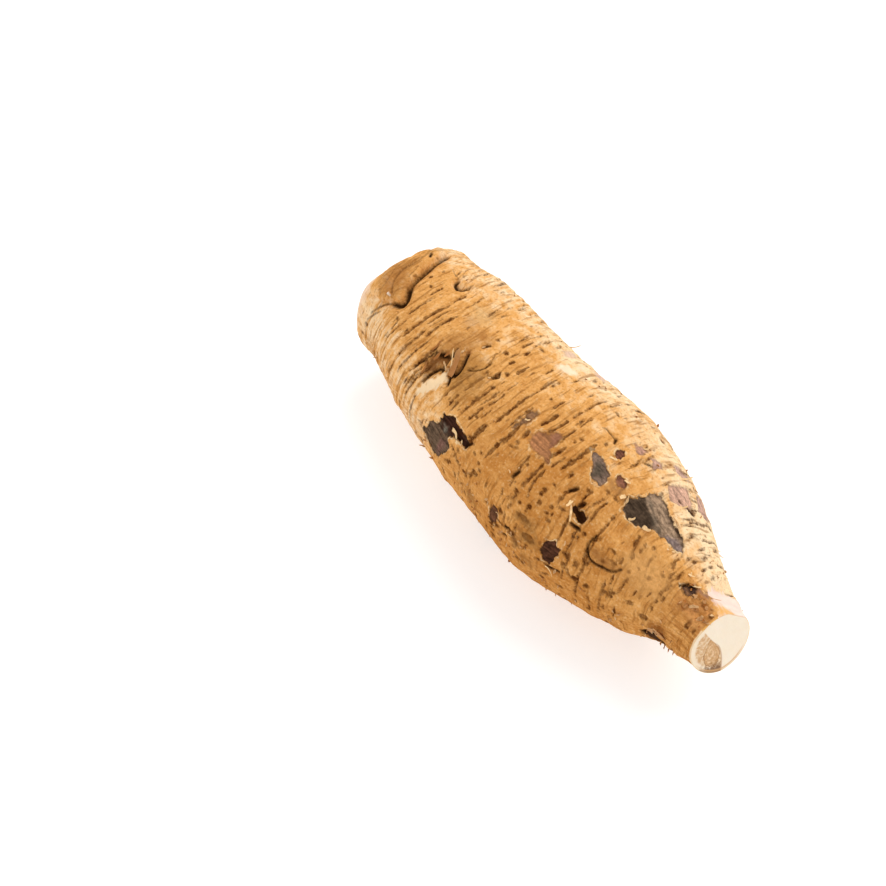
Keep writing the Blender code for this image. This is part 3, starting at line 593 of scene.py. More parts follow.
def tone_with_painted_light(x, degrees):
    """How pale the skin is painted, 0 to 1: painted light makes it pale on the side that the light comes to
    and on the crown's other flank, painted shade deep orange-brown low on the belly's side, in between
    elsewhere."""
    by_neck = rise(60, 92, x)
    # Painted light: paler on the side that the light comes to
    paler_share = rise(2 + 16 * by_neck, -40 + 14 * by_neck, degrees) * rise(-160, -100, degrees)
    paler_share = paler_share * (0.84 + 0.16 * by_neck)
    # Painted light: paler on the crown's other flank
    painted_lit_crown_flank = rise(38, 66, degrees) * rise(-34, -62, x) * rise(160, 120, degrees)
    # Painted shade: deeper low on the belly's side, half as much by the neck
    deep = rise(-6, 34, degrees) * rise(-44, 20, x) * rise(170, 130, degrees) * (1 - 0.5 * rise(76, 100, x))
    return np.clip(CORK_TONE + LIT_SIDE_PAINTED_PALER * paler_share + CROWN_FLANK_PAINTED_PALER * painted_lit_crown_flank - BELLY_PAINTED_SHADE * deep, 0, 1)


def fraying(x, degrees):
    """How frayed the skin is, 0 to 1: on top of the neck, and less so low on the flank that shows."""
    neck = rise(102, 116, x) * rise(-12, 4, degrees)
    flank = rise(70, 96, degrees) * rise(150, 120, degrees)
    return neck + 0.7 * flank


def cap(edge, middle, cut, hollow, shares):
    """Rings on a cut face, from the rim inwards, each the rim drawn in towards the middle point."""
    share = np.array(shares)[:, None, None]
    across = middle + share * (edge[None, :, 1:] - middle)
    x = cut(across[..., 0], across[..., 1]) + hollow * (1 - share[..., 0] ** 2)
    return np.concatenate([x[..., None], across], axis=-1)


def closed_faces(rings, around):
    """Faces of a closed tube of rings with a point at each end: fans at the ends, four sides between."""
    here = np.arange(around)
    following = (here + 1) % around
    start = 1 + around * np.arange(rings)[:, None]
    low, high = start[:-1], start[1:]
    walls = np.stack([low + here, low + following, high + following, high + here], axis=-1)
    last = 1 + around * rings
    first_fan = np.stack([0 * here, start[0] + following, start[0] + here], axis=-1)
    last_fan = np.stack([0 * here + last, start[-1] + here, start[-1] + following], axis=-1)
    return walls.reshape(-1, 4), np.concatenate([first_fan, last_fan])


def make_piece(name, points, faces, marks, materials):
    """A smooth mesh object of those points in mm, with marks kept on its points and its materials."""
    mesh = bpy.data.meshes.new(name)
    mesh.from_pydata((points * MM).tolist(), [], faces)
    mesh.shade_smooth()
    for mark, values in marks.items():
        kind = "FLOAT_VECTOR" if values.ndim == 2 else "FLOAT"
        attribute = mesh.attributes.new(mark, kind, "POINT")
        slot = "vector" if values.ndim == 2 else "value"
        attribute.data.foreach_set(slot, values.astype(np.float32).ravel())
    for material in materials:
        mesh.materials.append(material)
    piece = bpy.data.objects.new(name, mesh)
    bpy.context.scene.collection.objects.link(piece)
    return piece


def skin_grid():
    """The skin's rings and everything that marks them, as arrays with a row for each ring."""
    t = np.linspace(0, 2 * np.pi, AROUND, endpoint=False)
    a = (t - CLOSER * np.sin(t - CLOSER_ROUND))[None, :]
    s, a = np.broadcast_arrays(ring_places()[:, None], a)
    x = ring_line(s, a)
    degrees = np.degrees(turned(a, 0))
    radius = along(STATION, RADIUS, x)
    bare = girth(x, a)
    place = np.stack([x, *section(x, bare, a)], axis=-1)
    wobble = ripple(place, *EDGE_WANDER)
    waver = RING_WAVER_SIZE * ripple(place, *RING_WAVER)

    cracks = in_cracks(s + waver, a)
    marks = np.maximum(in_spots(x, a, radius), in_drawn_marks(s + waver, a, radius))
    patch, patch_colour, patch_torn, scaled = paint(x, a, wobble, PATCHES)
    pale, pale_colour, _, shaved = paint(x, a, wobble, PALE_PATCHES)
    rim_edge = s - NECK_END + RIM_BARE + RIM_RAGGED * wobble
    pale = np.maximum(pale, rim_edge)
    # The furrows' depth, and their painted shade
    furrow, painted_hollow_shade = in_furrows(x, a, radius)
    free = 1 - rise(-0.4, 0.5, pale)
    rib = ribs(s + waver, a)
    bark = free * (1 - 0.75 * rise(-0.3, 0.3, patch) * patch_torn)

    relief = -(grooves(s, a) + RIB_DEPTH * rib) * bark - furrow - scaled - shaved
    relief = relief + plates(x, a) * rise(CROWN_END, CROWN_END + 15, s)
    for place_x, round_at, half_length, half_width, height in LUMPS:
        across = turned(a, np.radians(round_at)) * radius
        relief = relief + height * np.exp(-((x - place_x) / half_length) ** 2 - (across / half_width) ** 2)
    dark = np.maximum(cracks, marks)
    relief = relief - bark * (CRACK_DEPTH * rise(-0.5, 0.35, cracks) + MARK_DEPTH * rise(-0.45, 0.4, marks))
    relief = relief + MARK_RIM * bark * np.exp(-((dark + 0.85) / 0.35) ** 2)
    relief = relief + TORN_LIP * free * np.exp(-((patch + 0.7) / 0.55) ** 2) * patch_torn
    relief = relief + free * (SWELL_HEIGHT * ripple(place, *SWELLS) + BUMP_HEIGHT * ripple(place, *BUMPS))
    frayed = fraying(x, degrees)
    relief = relief + frayed * free * winding(FRAY_WAVES, x, a)
    ends = rise(CROWN_END, CROWN_END + 5, s) * (1 - rise(NECK_END - 4, NECK_END, s))
    relief = relief * ends * (1 - underneath(a))

    rounding = CROWN_ROUNDING * np.clip(1 - (s - CROWN_END) / CROWN_ROUNDING_LENGTH, 0, 1) ** 2
    y, z = section(x, bare + relief - rounding, a)
    points = np.stack([x, y, np.maximum(z, 0)], axis=-1)
    kept = {
        "grain": np.stack([s, y, z], axis=-1),
        "dark": dark,
        "patch": patch, "patch_colour": patch_colour, "torn": patch_torn,
        "pale": pale, "pale_colour": pale_colour,
        # Painted shade in the furrows, holes and rib grooves
        "painted_hollow_shade": np.maximum(painted_hollow_shade, RIB_SHADE_IN_HOLLOWS * rib * bark),
        # The cork's tone with painted light and painted shade, and painted shade in the rib grooves
        "tone_and_painted_light": np.clip(tone_with_painted_light(x, degrees) - RIB_SHADE_IN_TONE * rib * bark, 0, 1),
        "frayed": np.clip(frayed, 0, 1),
    }
    return points, kept


def tuber(materials):
    """The whole root as one closed surface: the crown's cut face, the skin, and the neck's two cut faces."""
    points, marks = skin_grid()
    crown_middle, neck_middle = points[0][:, 1:].mean(axis=0), points[-1][:, 1:].mean(axis=0)
    crown_hub, *crown = cap(points[0], crown_middle, crown_cut, CROWN_HOLLOW, (0.0,) + CROWN_SHARES)
    neck_hub, *neck = cap(points[-1], neck_middle, neck_cut, 0.0, (0.0,) + NECK_SHARES)
    rings = np.concatenate([crown, points, neck[::-1]])
    everything = np.concatenate([crown_hub[:1], rings.reshape(-1, 3), neck_hub[:1]])

    skin_from, skin_to = 1 + AROUND * len(crown), 1 + AROUND * (len(crown) + len(points))
    kept = {}
    for mark, values in marks.items():
        flat = values.reshape(-1, 3) if values.ndim == 3 else values.ravel()
        kept[mark] = np.zeros((len(everything),) + flat.shape[1:])
        kept[mark][skin_from:skin_to] = flat
    kept["grain"][:skin_from], kept["grain"][skin_to:] = everything[:skin_from], everything[skin_to:]
    share = np.concatenate([CROWN_SHARES, np.ones(len(points)), NECK_SHARES[::-1]])
    kept["from_middle"] = np.concatenate([[0], np.repeat(share, AROUND), [0]])
    kept["past_ridge"] = past_ridge(everything[:, 1], everything[:, 2])

    walls, fans = closed_faces(len(rings), AROUND)
    box_low, box_high = np.array(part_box("tuber")) / MM
    low, high = everything.min(axis=0), everything.max(axis=0)
    shift = (box_low + box_high - low - high) / 2
    shift[2] = box_low[2] - low[2]
    piece = make_piece("tuber_skin", everything + shift, walls.tolist() + fans.tolist(), kept, materials)
    ring_of_wall = np.repeat(np.arange(len(rings) - 1), AROUND)
    which = np.where(ring_of_wall < len(crown), 2, 0)
    which = np.where(ring_of_wall >= len(crown) + len(points) - 1, 1, which)
    which = np.concatenate([which, np.full(AROUND, 2), np.full(AROUND, 1)])
    piece.data.polygons.foreach_set("material_index", which.astype(np.int32))
    piece.data.update()
    return piece, shift


# Torn bark that stands up or curls: from where to where (x, degrees round), width, how steeply it leaves
# the skin and how far it curls in degrees, and how pale it is
SCALES = [
    (63, 13, 66.5, 12, 2.4, 14, 50, 1.0), (73, 19.5, 76, 14.5, 1.2, 8, 60, 0.8),
    (79.5, 14, 85, 12, 1.9, 9, 60, 0.8), (92.5, 8.5, 94.5, 8, 0.9, 12, 50, 0.9),
    (94.5, 6.5, 96.5, 5, 0.9, 12, 50, 0.9), (82, -12.5, 90, -11, 0.8, 6, 20, 0.4),
    (70, -12, 71.5, -8, 1.1, 10, 40, 0.5), (67, 14, 66, 8, 1.1, 10, 60, 0.7),
    (45.5, 1.5, 50.5, 0, 1.2, 10, 40, 1.0), (58.5, 3.4, 63, 4.4, 1.4, 12, 50, 1.0),
    (50, 39.5, 57.5, 47, 1.0, 12, 30, 1.0), (49.3, 37, 51, 43, 1.7, 14, 50, 1.0),
    (52.5, 87.5, 60, 85.5, 1.0, 8, 40, 0.9), (20.5, 79, 21, 74.5, 1.1, 10, 50, 0.9),
    (28, 83, 30.5, 82, 1.1, 12, 60, 0.9), (31, 84, 32, 80.5, 1.0, 12, 60, 0.9),
    (36.5, 83.5, 37.5, 79.5, 1.0, 12, 60, 0.9), (38, 86.5, 39, 83, 1.0, 12, 60, 0.9),
    (-26.5, 62.8, -18, 61, 2.1, 10, 30, 0.9), (-18.5, 63.5, -14.5, 64.8, 1.3, 14, 60, 0.9),
    (-45.5, 95, -43.5, 90, 1.3, 8, 40, 0.7), (-51.5, 112, -51, 106, 1.3, 8, 40, 0.7),
    (-39, 104, -38, 98, 1.3, 8, 40, 0.7), (4.5, 24, 8.6, 22.6, 0.9, 8, 40, 0.9),
    (16.8, 51.5, 17.4, 48, 1.3, 20, 70, 1.0), (19.4, 45.4, 21.2, 44.6, 0.8, 16, 60, 0.9),
    (-45.4, 41.5, -49.2, 24.5, 4.2, 7, 8, 0.1), (-50.4, 26, -46.4, 20.5, 1.5, 12, 70, 0.9),
    (-47.4, 40, -51.2, 26.5, 0.9, 16, 8, 0.9), (-49.5, 41.5, -52.5, 36.5, 1.2, 16, 40, 0.5),
    (-47, 42, -48.6, 38, 0.9, 16, 40, 0.5), (-60, 43.5, -57.5, 33, 1.6, 10, 30, 0.0),
    (-64.5, 40, -61, 30, 1.2, 8, 30, 0.0), (-56, 36.5, -54, 30, 1.2, 10, 30, 0.0),
    (-62, 56, -60, 46, 1.0, 8, 20, 0.0), (-44, 14, -41.5, 12, 1.1, 10, 50, 0.6),
    (-27.5, 23.5, -24.5, 22, 0.8, 10, 50, 0.7), (105.6, 4.6, 109.4, 2.4, 0.8, 16, 30, 1.0),
    (107.4, 4.6, 106, 0, 0.7, 14, 30, 1.0), (110.5, 9, 115, 3, 0.9, 14, 30, 1.0),
    (114, 12, 118, 20, 1.6, 14, 50, 0.3), (117, 30, 121, 16, 1.4, 14, 40, 0.5),
    (123, 34, 126, 20, 1.5, 14, 50, 0.3), (119, 6, 122.5, 14, 1.5, 12, 60, 0.2),
    (117.5, -3, 124, -7.5, 0.9, 8, 30, 0.5), (124, 2, 125, 10, 1.3, 12, 70, 0.4),
    (126.5, 8, 127.5, 18, 1.2, 12, 60, 0.8), (113, 26, 116, 34, 1.6, 12, 60, 0.0),
    (121, 22, 119, 32, 1.4, 14, 60, 0.1), (113.4, 101, 110, 71, 3.2, 9, 14, 0.25),
    (105.8, 102, 110, 80, 3.2, 9, 14, 0.25), (109.6, 74, 112, 66, 1.6, 14, 60, 0.6),
    (107, 96, 112, 92, 1.4, 16, 30, 0.5), (112, 121, 114, 125, 1.8, 60, 20, 0.0),
    (114.6, 122, 117, 125, 2.0, 65, 20, 0.0), (117.4, 121, 119.6, 124, 1.7, 60, 20, 0.0),
    (110, 120, 111, 124, 1.5, 50, 30, 0.1), (-33, -55, -28.5, -60, 1.6, 30, 40, 0.9),
    (97, -56, 100, -60, 1.2, 10, 50, 1.0), (97, -74, 99.5, -77, 1.2, 12, 50, 1.0),
    (108, -27, 110.5, -30, 1.1, 10, 50, 1.0), (110.5, -54, 113, -57, 1.1, 10, 50, 1.0),
    (-89, -13.5, -86, -13, 1.4, 12, 60, 0.9), (48.5, -22, 51, -24.5, 1.0, 8, 50, 0.8),
    (58, -31, 61, -31, 1.1, 8, 50, 0.9), (71, -42.5, 75, -43, 1.2, 8, 50, 0.8),
    (80, -22, 81.5, -29, 1.0, 8, 50, 0.7), (66, -41, 67, -50, 1.1, 8, 50, 0.9),
    (57, 60, 59.5, 63, 0.8, 8, 50, 0.6),
]
# And more at seeded places: how many, between which x and which degrees, how long and how steep
DRAWN_SCALES = [
    (40, -70, 112, -84, -20, 1.4, 3.0, 5), (44, -22, 46, 72, 112, 1.2, 2.6, 8),
    (20, 46, 104, 82, 116, 1.2, 2.6, 8), (16, -100, 98, 122, 148, 1.2, 2.6, 8),
    (22, -100, 112, 214, 300, 1.6, 4.2, 8), (22, 110, 127, -2, 36, 2.0, 4.2, 4),
]
SCALE_SEED, SCALE_THICKNESS = 21, 0.3
SCALE_STEPS, SCALE_AROUND = 9, 8
# The seeded ones: middle and spread of the way they point, and from what to what they are wide, curled in
# degrees, steep for their row's steepness, and pale
SCALE_HEADING, SCALE_WIDTH, SCALE_CURL = (60, 55), (0.6, 1.5), (25, 70)
SCALE_STEEP, SCALE_PALE = (0.5, 1.6), (-0.3, 0.6)
# A strip's start lies this deep in the skin, in mm. For its length it sways, and for its width it is ragged
# and hollow across, by these shares.
STRIP_SUNK, STRIP_SWAY, STRIP_RAGGED, STRIP_HOLLOW = 0.4, 0.10, 0.22, 0.18

# Dry rootlets, seeded along the root, a share of them by the neck. Each is thicker where it leaves the skin.
# Lengths and widths are in mm, curl and steepness in degrees. None grow by the ground or at the shaving.
ROOTLETS, NECK_ROOTLETS, ROOTLET_SEED = 26, 0.3, 8
ROOTLETS_BY_NECK, ROOTLETS_ELSEWHERE, ROOTLETS_ROUND = (96, 126), (-118, 90), (-70, 300)
ROOTLET_LENGTH, ROOTLET_WIDTH, ROOTLET_THICKNESS = (1.2, 3.0), (0.3, 0.55), 0.42
ROOTLET_CURL, ROOTLET_STEEP = (-35, 65), (25, 70)
GROUND_ROUND, GROUND_REACH, SHAVED_NECK_FROM = 180, 40, 110
ROOTLET_STEPS, ROOTLET_AROUND = 7, 5


def stand(x, a):
    """A place on the bare skin with its directions there: along the root, round it, and outwards."""
    step, turn = 0.5, 0.01
    here = np.stack([x, *section(x, girth(x, a), a)], axis=-1)
    ahead = np.stack([x + step, *section(x + step, girth(x + step, a), a)], axis=-1) - here
    round_it = np.stack([x, *section(x, girth(x, a + turn), a + turn)], axis=-1) - here
    ahead /= np.linalg.norm(ahead, axis=-1, keepdims=True)
    outward = np.cross(round_it, ahead)
    outward /= np.linalg.norm(outward, axis=-1, keepdims=True)
    return here, ahead, np.cross(ahead, outward), outward


def strips(x, degrees, heading, length, width, curl, lift, thickness, pale, steps, around, seed):
    """Thin strips that leave the skin and curl up: each follows an arc whose slope grows evenly, with an
    oval section that narrows to a ragged point. Every number may differ from strip to strip."""
    rng = np.random.default_rng(seed)
    here, ahead, round_it, outward = stand(x, np.radians(degrees))
    turn = np.radians(heading)[:, None]
    run = ahead * np.cos(turn) + round_it * np.sin(turn)
    side = np.cross(outward, run)
    t = np.linspace(0, 1, steps)[None, :]
    bend = np.radians(curl)[:, None]
    slope = np.radians(lift)[:, None] + bend * t
    first = slope[:, :1]
    forward = length[:, None] / bend * (np.sin(slope) - np.sin(first))
    up = length[:, None] / bend * (np.cos(first) - np.cos(slope)) - STRIP_SUNK
    phase = rng.uniform(0, 2 * np.pi, (len(x), 2))
    sway = STRIP_SWAY * length[:, None] * np.sin(2.5 * t + phase[:, :1]) * t
    full = width[:, None] * (0.5 + 0.5 * np.sin(np.pi * np.clip(t * 0.8 + 0.16, 0, 1)))
    full = full * (1 + STRIP_RAGGED * np.sin(9 * t + phase[:, 1:])) * rise(-0.02, 0.16, 1 - t)
    v = np.linspace(0, 2 * np.pi, around, endpoint=False)
    wide = full[..., None] / 2 * np.cos(v)
    thick = thickness[:, None, None] / 2 * np.sin(v) * (1 - 0.5 * t[..., None])
    cupped = STRIP_HOLLOW * full[..., None] * np.cos(v) ** 2
    normal = -np.sin(slope)[..., None] * run[:, None] + np.cos(slope)[..., None] * outward[:, None]
    spine = (here[:, None] + forward[..., None] * run[:, None] + up[..., None] * outward[:, None]
             + sway[..., None] * side[:, None])
    rings = (spine[:, :, None] + wide[..., None] * side[:, None, None]
             + (thick + cupped)[..., None] * normal[:, :, None])
    points = np.concatenate([spine[:, :1], rings.reshape(len(x), -1, 3), spine[:, -1:]], axis=1)
    walls, fans = closed_faces(steps, around)
    offset = np.arange(len(x))[:, None, None] * points.shape[1]
    faces = (walls + offset).reshape(-1, 4).tolist() + (fans + offset).reshape(-1, 3).tolist()
    tip = np.concatenate([[0], np.repeat(t[0], around), [1]])
    edge = np.concatenate([[0], np.tile(np.abs(np.cos(v)), steps), [1]])
    away = length[:, None] * tip, rng.uniform(0, 50, (len(x), 1)) + 0 * tip, width[:, None] * edge
    marks = {"tip": np.tile(tip, len(x)), "edge": np.tile(edge, len(x)),
             "shade": (pale[:, None] + 0 * tip).ravel(), "grain": np.stack(away, axis=-1).reshape(-1, 3)}
    return points.reshape(-1, 3), faces, marks


def bark_scales(shift, material):
    """Torn bark at the scars' edges and at seeded places: scales, curls and short tufts."""
    rng = np.random.default_rng(SCALE_SEED)
    first_x, first_a, last_x, last_a, width, lift, curl, pale = np.array(SCALES, float).T
    across = np.radians(last_a - first_a) * along(STATION, RADIUS, first_x)
    rows = [np.stack([first_x, first_a, np.degrees(np.arctan2(across, last_x - first_x)),
                      1.06 * np.hypot(across, last_x - first_x), width, curl, lift, pale], axis=-1)]
    for count, low_x, high_x, low_a, high_a, shortest, longest, steep in DRAWN_SCALES:
        rows.append(np.stack([
            rng.uniform(low_x, high_x, count), rng.uniform(low_a, high_a, count),
            rng.normal(*SCALE_HEADING, count), rng.uniform(shortest, longest, count),
            rng.uniform(*SCALE_WIDTH, count), rng.uniform(*SCALE_CURL, count),
            steep * rng.uniform(*SCALE_STEEP, count), rng.uniform(*SCALE_PALE, count)], axis=-1))
    x, degrees, heading, length, width, curl, lift, pale = np.concatenate(rows).T
    points, faces, marks = strips(x, degrees, heading, length, width, curl, lift,
                                  SCALE_THICKNESS + 0 * x, pale, SCALE_STEPS, SCALE_AROUND, SCALE_SEED)
    return make_piece("curled_bark", points + shift, faces, marks, [material])


def rootlets(shift, material):
    """Short dry rootlets, broken off near the skin, thickest round the neck."""
    rng = np.random.default_rng(ROOTLET_SEED)
    x = np.where(rng.uniform(0, 1, ROOTLETS) < NECK_ROOTLETS, rng.uniform(*ROOTLETS_BY_NECK, ROOTLETS),
                 rng.uniform(*ROOTLETS_ELSEWHERE, ROOTLETS))
    degrees = rng.uniform(*ROOTLETS_ROUND, ROOTLETS)
    keep = (np.abs(degrees - GROUND_ROUND) > GROUND_REACH) & ~((x > SHAVED_NECK_FROM) & (degrees < 0))
    x, degrees = x[keep], degrees[keep]
    count = len(x)
    points, faces, marks = strips(
        x, degrees, rng.uniform(0, 360, count), rng.uniform(*ROOTLET_LENGTH, count),
        rng.uniform(*ROOTLET_WIDTH, count), rng.uniform(*ROOTLET_CURL, count),
        rng.uniform(*ROOTLET_STEEP, count), ROOTLET_THICKNESS + 0 * x, 0 * x,
        ROOTLET_STEPS, ROOTLET_AROUND, ROOTLET_SEED)
    return make_piece("dry_rootlets", points + shift, faces, marks, [material])


def add(tree, kind, sockets=None, give=None, **settings):
    """Adds a node of that kind and returns an output of it: the one that give names, or the first in use.
    Settings are its own properties. Sockets are its inputs by name or number, each a value or an output."""
    made = tree.nodes.new("ShaderNode" + kind)
    for name, value in settings.items():
        setattr(made, name, value)
    for name, value in (sockets or {}).items():
        if isinstance(value, bpy.types.NodeSocket):
            tree.links.new(value, made.inputs[name])
        else:
            made.inputs[name].default_value = value
    return made.outputs[give] if give else next(output for output in made.outputs if output.enabled)


# What a row of numbers says about a range of values and what it becomes
RANGE = ("Value", "From Min", "From Max", "To Min", "To Max")


def rgba(colour):
    """A hex colour for a node's socket."""
    return (*linear(colour), 1.0)


def start_material(name):
    """A new material with its tree and its main shader."""
    material = bpy.data.materials.new(name)
    material.use_nodes = True
    return material, material.node_tree, material.node_tree.nodes["Principled BSDF"]


def dry_cork_skin():
    """Cork skin of a dug root, dry and rubbed: dull, golden tan, mottled, with fine lines and small pores
    round it and streaks along it near the neck. Scales in mm, on coordinates that follow the growth rings."""
    material, tree, shader = start_material("dry_cork_skin")
    grain, patch_colour, pale_colour = (
        add(tree, "Attribute", give="Vector", attribute_name=name)
        for name in ("grain", "patch_colour", "pale_colour"))
    tone_and_painted_light, frayed, patch, torn, dark, pale, painted_hollow_shade = (
        add(tree, "Attribute", give="Fac", attribute_name=name)
        for name in ("tone_and_painted_light", "frayed", "patch", "torn", "dark", "pale", "painted_hollow_shade"))

    # Clouds 24 mm across, mottling of 5 mm, grains and a ragged edge of 1 mm, lines of 1.5 mm drawn out
    # round the root, and streaks of 1.3 mm drawn out along it
    short_way, long_way, pore_way = (
        add(tree, "Mapping", {"Vector": grain, "Scale": stretch})
        for stretch in ((1, 0.12, 0.12), (0.10, 1, 1), (1, 0.5, 0.5)))
    clouds, mottle, fine, ragged, line, streak = (
        add(tree, "TexNoise", {"Vector": way, "Scale": 1 / across, "Detail": detail, "Roughness": roughness})
        for way, across, detail, roughness in (
            (grain, 24, 3.0, 0.5), (grain, 5, 5.0, 0.62), (grain, 1.2, 3.0, 0.6), (grain, 1.1, 3.0, 0.65),
            (short_way, 1.5, 2.0, 0.5), (long_way, 1.3, 3.0, 0.6)))

    # How pale the cork is: its own tone, painted paler as light and deeper as shade by place, with the clouds
    # and the mottling
    mottled_with_painted_light = tone_and_painted_light
    for pattern, amount in ((clouds, 0.7), (mottle, 1.5)):
        mottled_with_painted_light = add(tree, "Math", {0: pattern, 1: amount, 2: mottled_with_painted_light}, operation="MULTIPLY_ADD")

    # Pores: small dark ovals lying round the root, 2.7 mm apart, in about one cell of three
    pore = add(tree, "TexVoronoi", {"Vector": pore_way, "Scale": 1 / 2.7})
    chance = add(tree, "SeparateColor", {"Color": pore.node.outputs["Color"]}, give="Red")

    # Every mark's edge wanders by this many times the ragged pattern
    uneven = add(tree, "Math", {0: ragged, 1: 0.5}, operation="SUBTRACT")
    patch_edge, dark_edge, pale_edge, hollow_shade_edge, pore_edge = (
        add(tree, "Math", {0: uneven, 1: wander, 2: distance}, operation="MULTIPLY_ADD")
        for wander, distance in ((1.3, patch), (1.7, dark), (0.45, pale), (0.5, painted_hollow_shade), (0.3, pore)))

    # Shares and strengths: a torn patch has a sharp edge and covers all, a stain is soft and covers less
    share = {name: add(tree, "MapRange", dict(zip(RANGE, row))) for name, row in {
        "deeper": (mottled_with_painted_light, 1.05, 1.65, 0, 1),
        "paler": (mottled_with_painted_light, 1.62, 2.2, 0, 1),
        "dark_grain": (fine, 0.54, 0.74, 0, 0.62),
        "pale_grain": (fine, 0.45, 0.28, 0, 0.35),
        "lines": (line, 0.54, 0.70, 0, 0.62),
        "streaks": (streak, 0.42, 0.62, 0, 0.7),
        "pore_size": (chance, 0.66, 1.0, 0, 0.27),
        "soft_half": (torn, 0, 1, 0.9, 0.2),
        "covering": (torn, 0, 0.3, 0.75, 1),
        "patch_depth": (torn, 0, 1, 0.3, 1),
        "patch_tone": (streak, 0.3, 0.7, 0.42, 1.58),
        "patch_grain": (fine, 0.3, 0.7, 1.3, 0.7),
        # Painted shadow just inside a patch's edge, under the bark's edge
        "patch_rim_painted_shadow": (patch_edge, 0.1, 0.8, 0.5, 1.0),
        "lip_broken": (mottle, 0.46, 0.58, 0, 1),
        "crack": (dark_edge, -0.48, 0.26, 0, 1),
        "crack_strength": (mottle, 0.36, 0.60, 0.97, 0.62),
        "crack_hollow": (dark_edge, 0.45, 0.95, 0, 0.7),
        "bare": (pale_edge, -0.3, 0.5, 0, 1),
        "flesh_tone": (mottle, 0.3, 0.7, 0.88, 1.08),
        # Painted shade in furrows, holes and rib grooves
        "hollow_shade": (hollow_shade_edge, 0.22, 0.78, 0, 0.96),
    }.items()}
    pore_in = add(tree, "Math", {0: share["pore_size"], 1: pore_edge}, operation="SUBTRACT")
    soft_from = add(tree, "Math", {0: share["soft_half"], 1: -1.0}, operation="MULTIPLY")
    lip_far = add(tree, "Math", {0: patch_edge, 1: 0.55}, operation="ADD")
    lip_off = add(tree, "Math", {0: lip_far}, operation="ABSOLUTE")
    share |= {name: add(tree, "MapRange", dict(zip(RANGE, row))) for name, row in {
        "pores": (pore_in, -0.08, 0.12, 0, 0.6),
        "patched": (patch_edge, soft_from, share["soft_half"], 0, share["covering"]),
        "lip_on": (lip_off, 0.4, 0.1, 0, 0.7),
        "smooth": (share["bare"], 0, 1, 1.0, 0.25),
        "roughness": (share["bare"], 0, 1, 0.72, 0.42),
        "gloss": (share["bare"], 0, 1, 0, 0.25),
    }.items()}
    share["on_bark"] = add(tree, "MapRange", dict(zip(RANGE, (share["patched"], 0, 1, 1.0, 0.35))))

    # Products: streaks only where the skin frays, a lip only outside a torn edge, cracks fainter in places,
    # and a patch's streaks with its painted shadow by its edge
    product = {}
    for name, result, *factors in (
            ("fray", share["streaks"], frayed),
            ("lip", share["lip_on"], torn, share["lip_broken"]),
            ("crack", share["crack"], share["crack_strength"], share["on_bark"]),
            ("patch", share["patch_tone"], share["patch_grain"], share["patch_rim_painted_shadow"])):
        for factor in factors:
            result = add(tree, "Math", {0: result, 1: factor}, operation="MULTIPLY")
        product[name] = result

    # A patch is streaky and has a painted shadow just inside a torn edge, a wide crack is browner in its
    # hollow
    varied = add(tree, "Mix", {0: share["patch_depth"], 2: 1.0, 3: product["patch"]})
    patch_streaked = add(tree, "VectorMath", {0: patch_colour, "Scale": varied}, operation="SCALE")
    flesh = add(tree, "VectorMath", {0: pale_colour, "Scale": share["flesh_tone"]}, operation="SCALE")
    bottom = add(tree, "Mix", {0: share["crack_hollow"], 6: rgba("#4C240C"), 7: rgba("#84501F")},
                 data_type="RGBA")

    # From the deepest cork up: paler cork, grains, lines, streaks, pores, patches, the paler lip just
    # outside a torn edge, cracks, bare flesh and gum, and painted shade in furrows, holes and rib grooves
    colour = rgba("#C0803E")
    for amount, over in (
            (share["deeper"], rgba("#E4A862")), (share["paler"], rgba("#FADCB2")),
            (share["dark_grain"], rgba("#9E622C")), (share["pale_grain"], rgba("#F8D6A0")),
            (share["lines"], rgba("#96602A")), (product["fray"], rgba("#A2642A")),
            (share["pores"], rgba("#74451D")), (share["patched"], patch_streaked),
            (product["lip"], rgba("#F8DDB0")), (product["crack"], bottom),
            (share["bare"], flesh), (share["hollow_shade"], rgba("#2A1406"))):
        colour = add(tree, "Mix", {0: amount, 6: colour, 7: over}, data_type="RGBA")
    tree.links.new(colour, shader.inputs["Base Color"])

    # Height in mm for the finest relief, none of it on bare flesh
    height = 0.0
    for pattern, millimetres in ((mottle, 0.9), (fine, -0.45), (share["lines"], -0.4),
                                 (product["fray"], -0.4), (share["pores"], -0.4), (product["crack"], -0.6),
                                 (product["lip"], 0.4)):
        height = add(tree, "Math", {0: pattern, 1: millimetres, 2: height}, operation="MULTIPLY_ADD")
    height = add(tree, "Math", {0: height, 1: share["smooth"]}, operation="MULTIPLY")
    bump = add(tree, "Bump", {"Height": height, "Distance": MM, "Strength": 0.85})
    tree.links.new(bump, shader.inputs["Normal"])
    tree.links.new(share["roughness"], shader.inputs["Roughness"])
    tree.links.new(share["gloss"], shader.inputs["Specular IOR Level"])
    return material


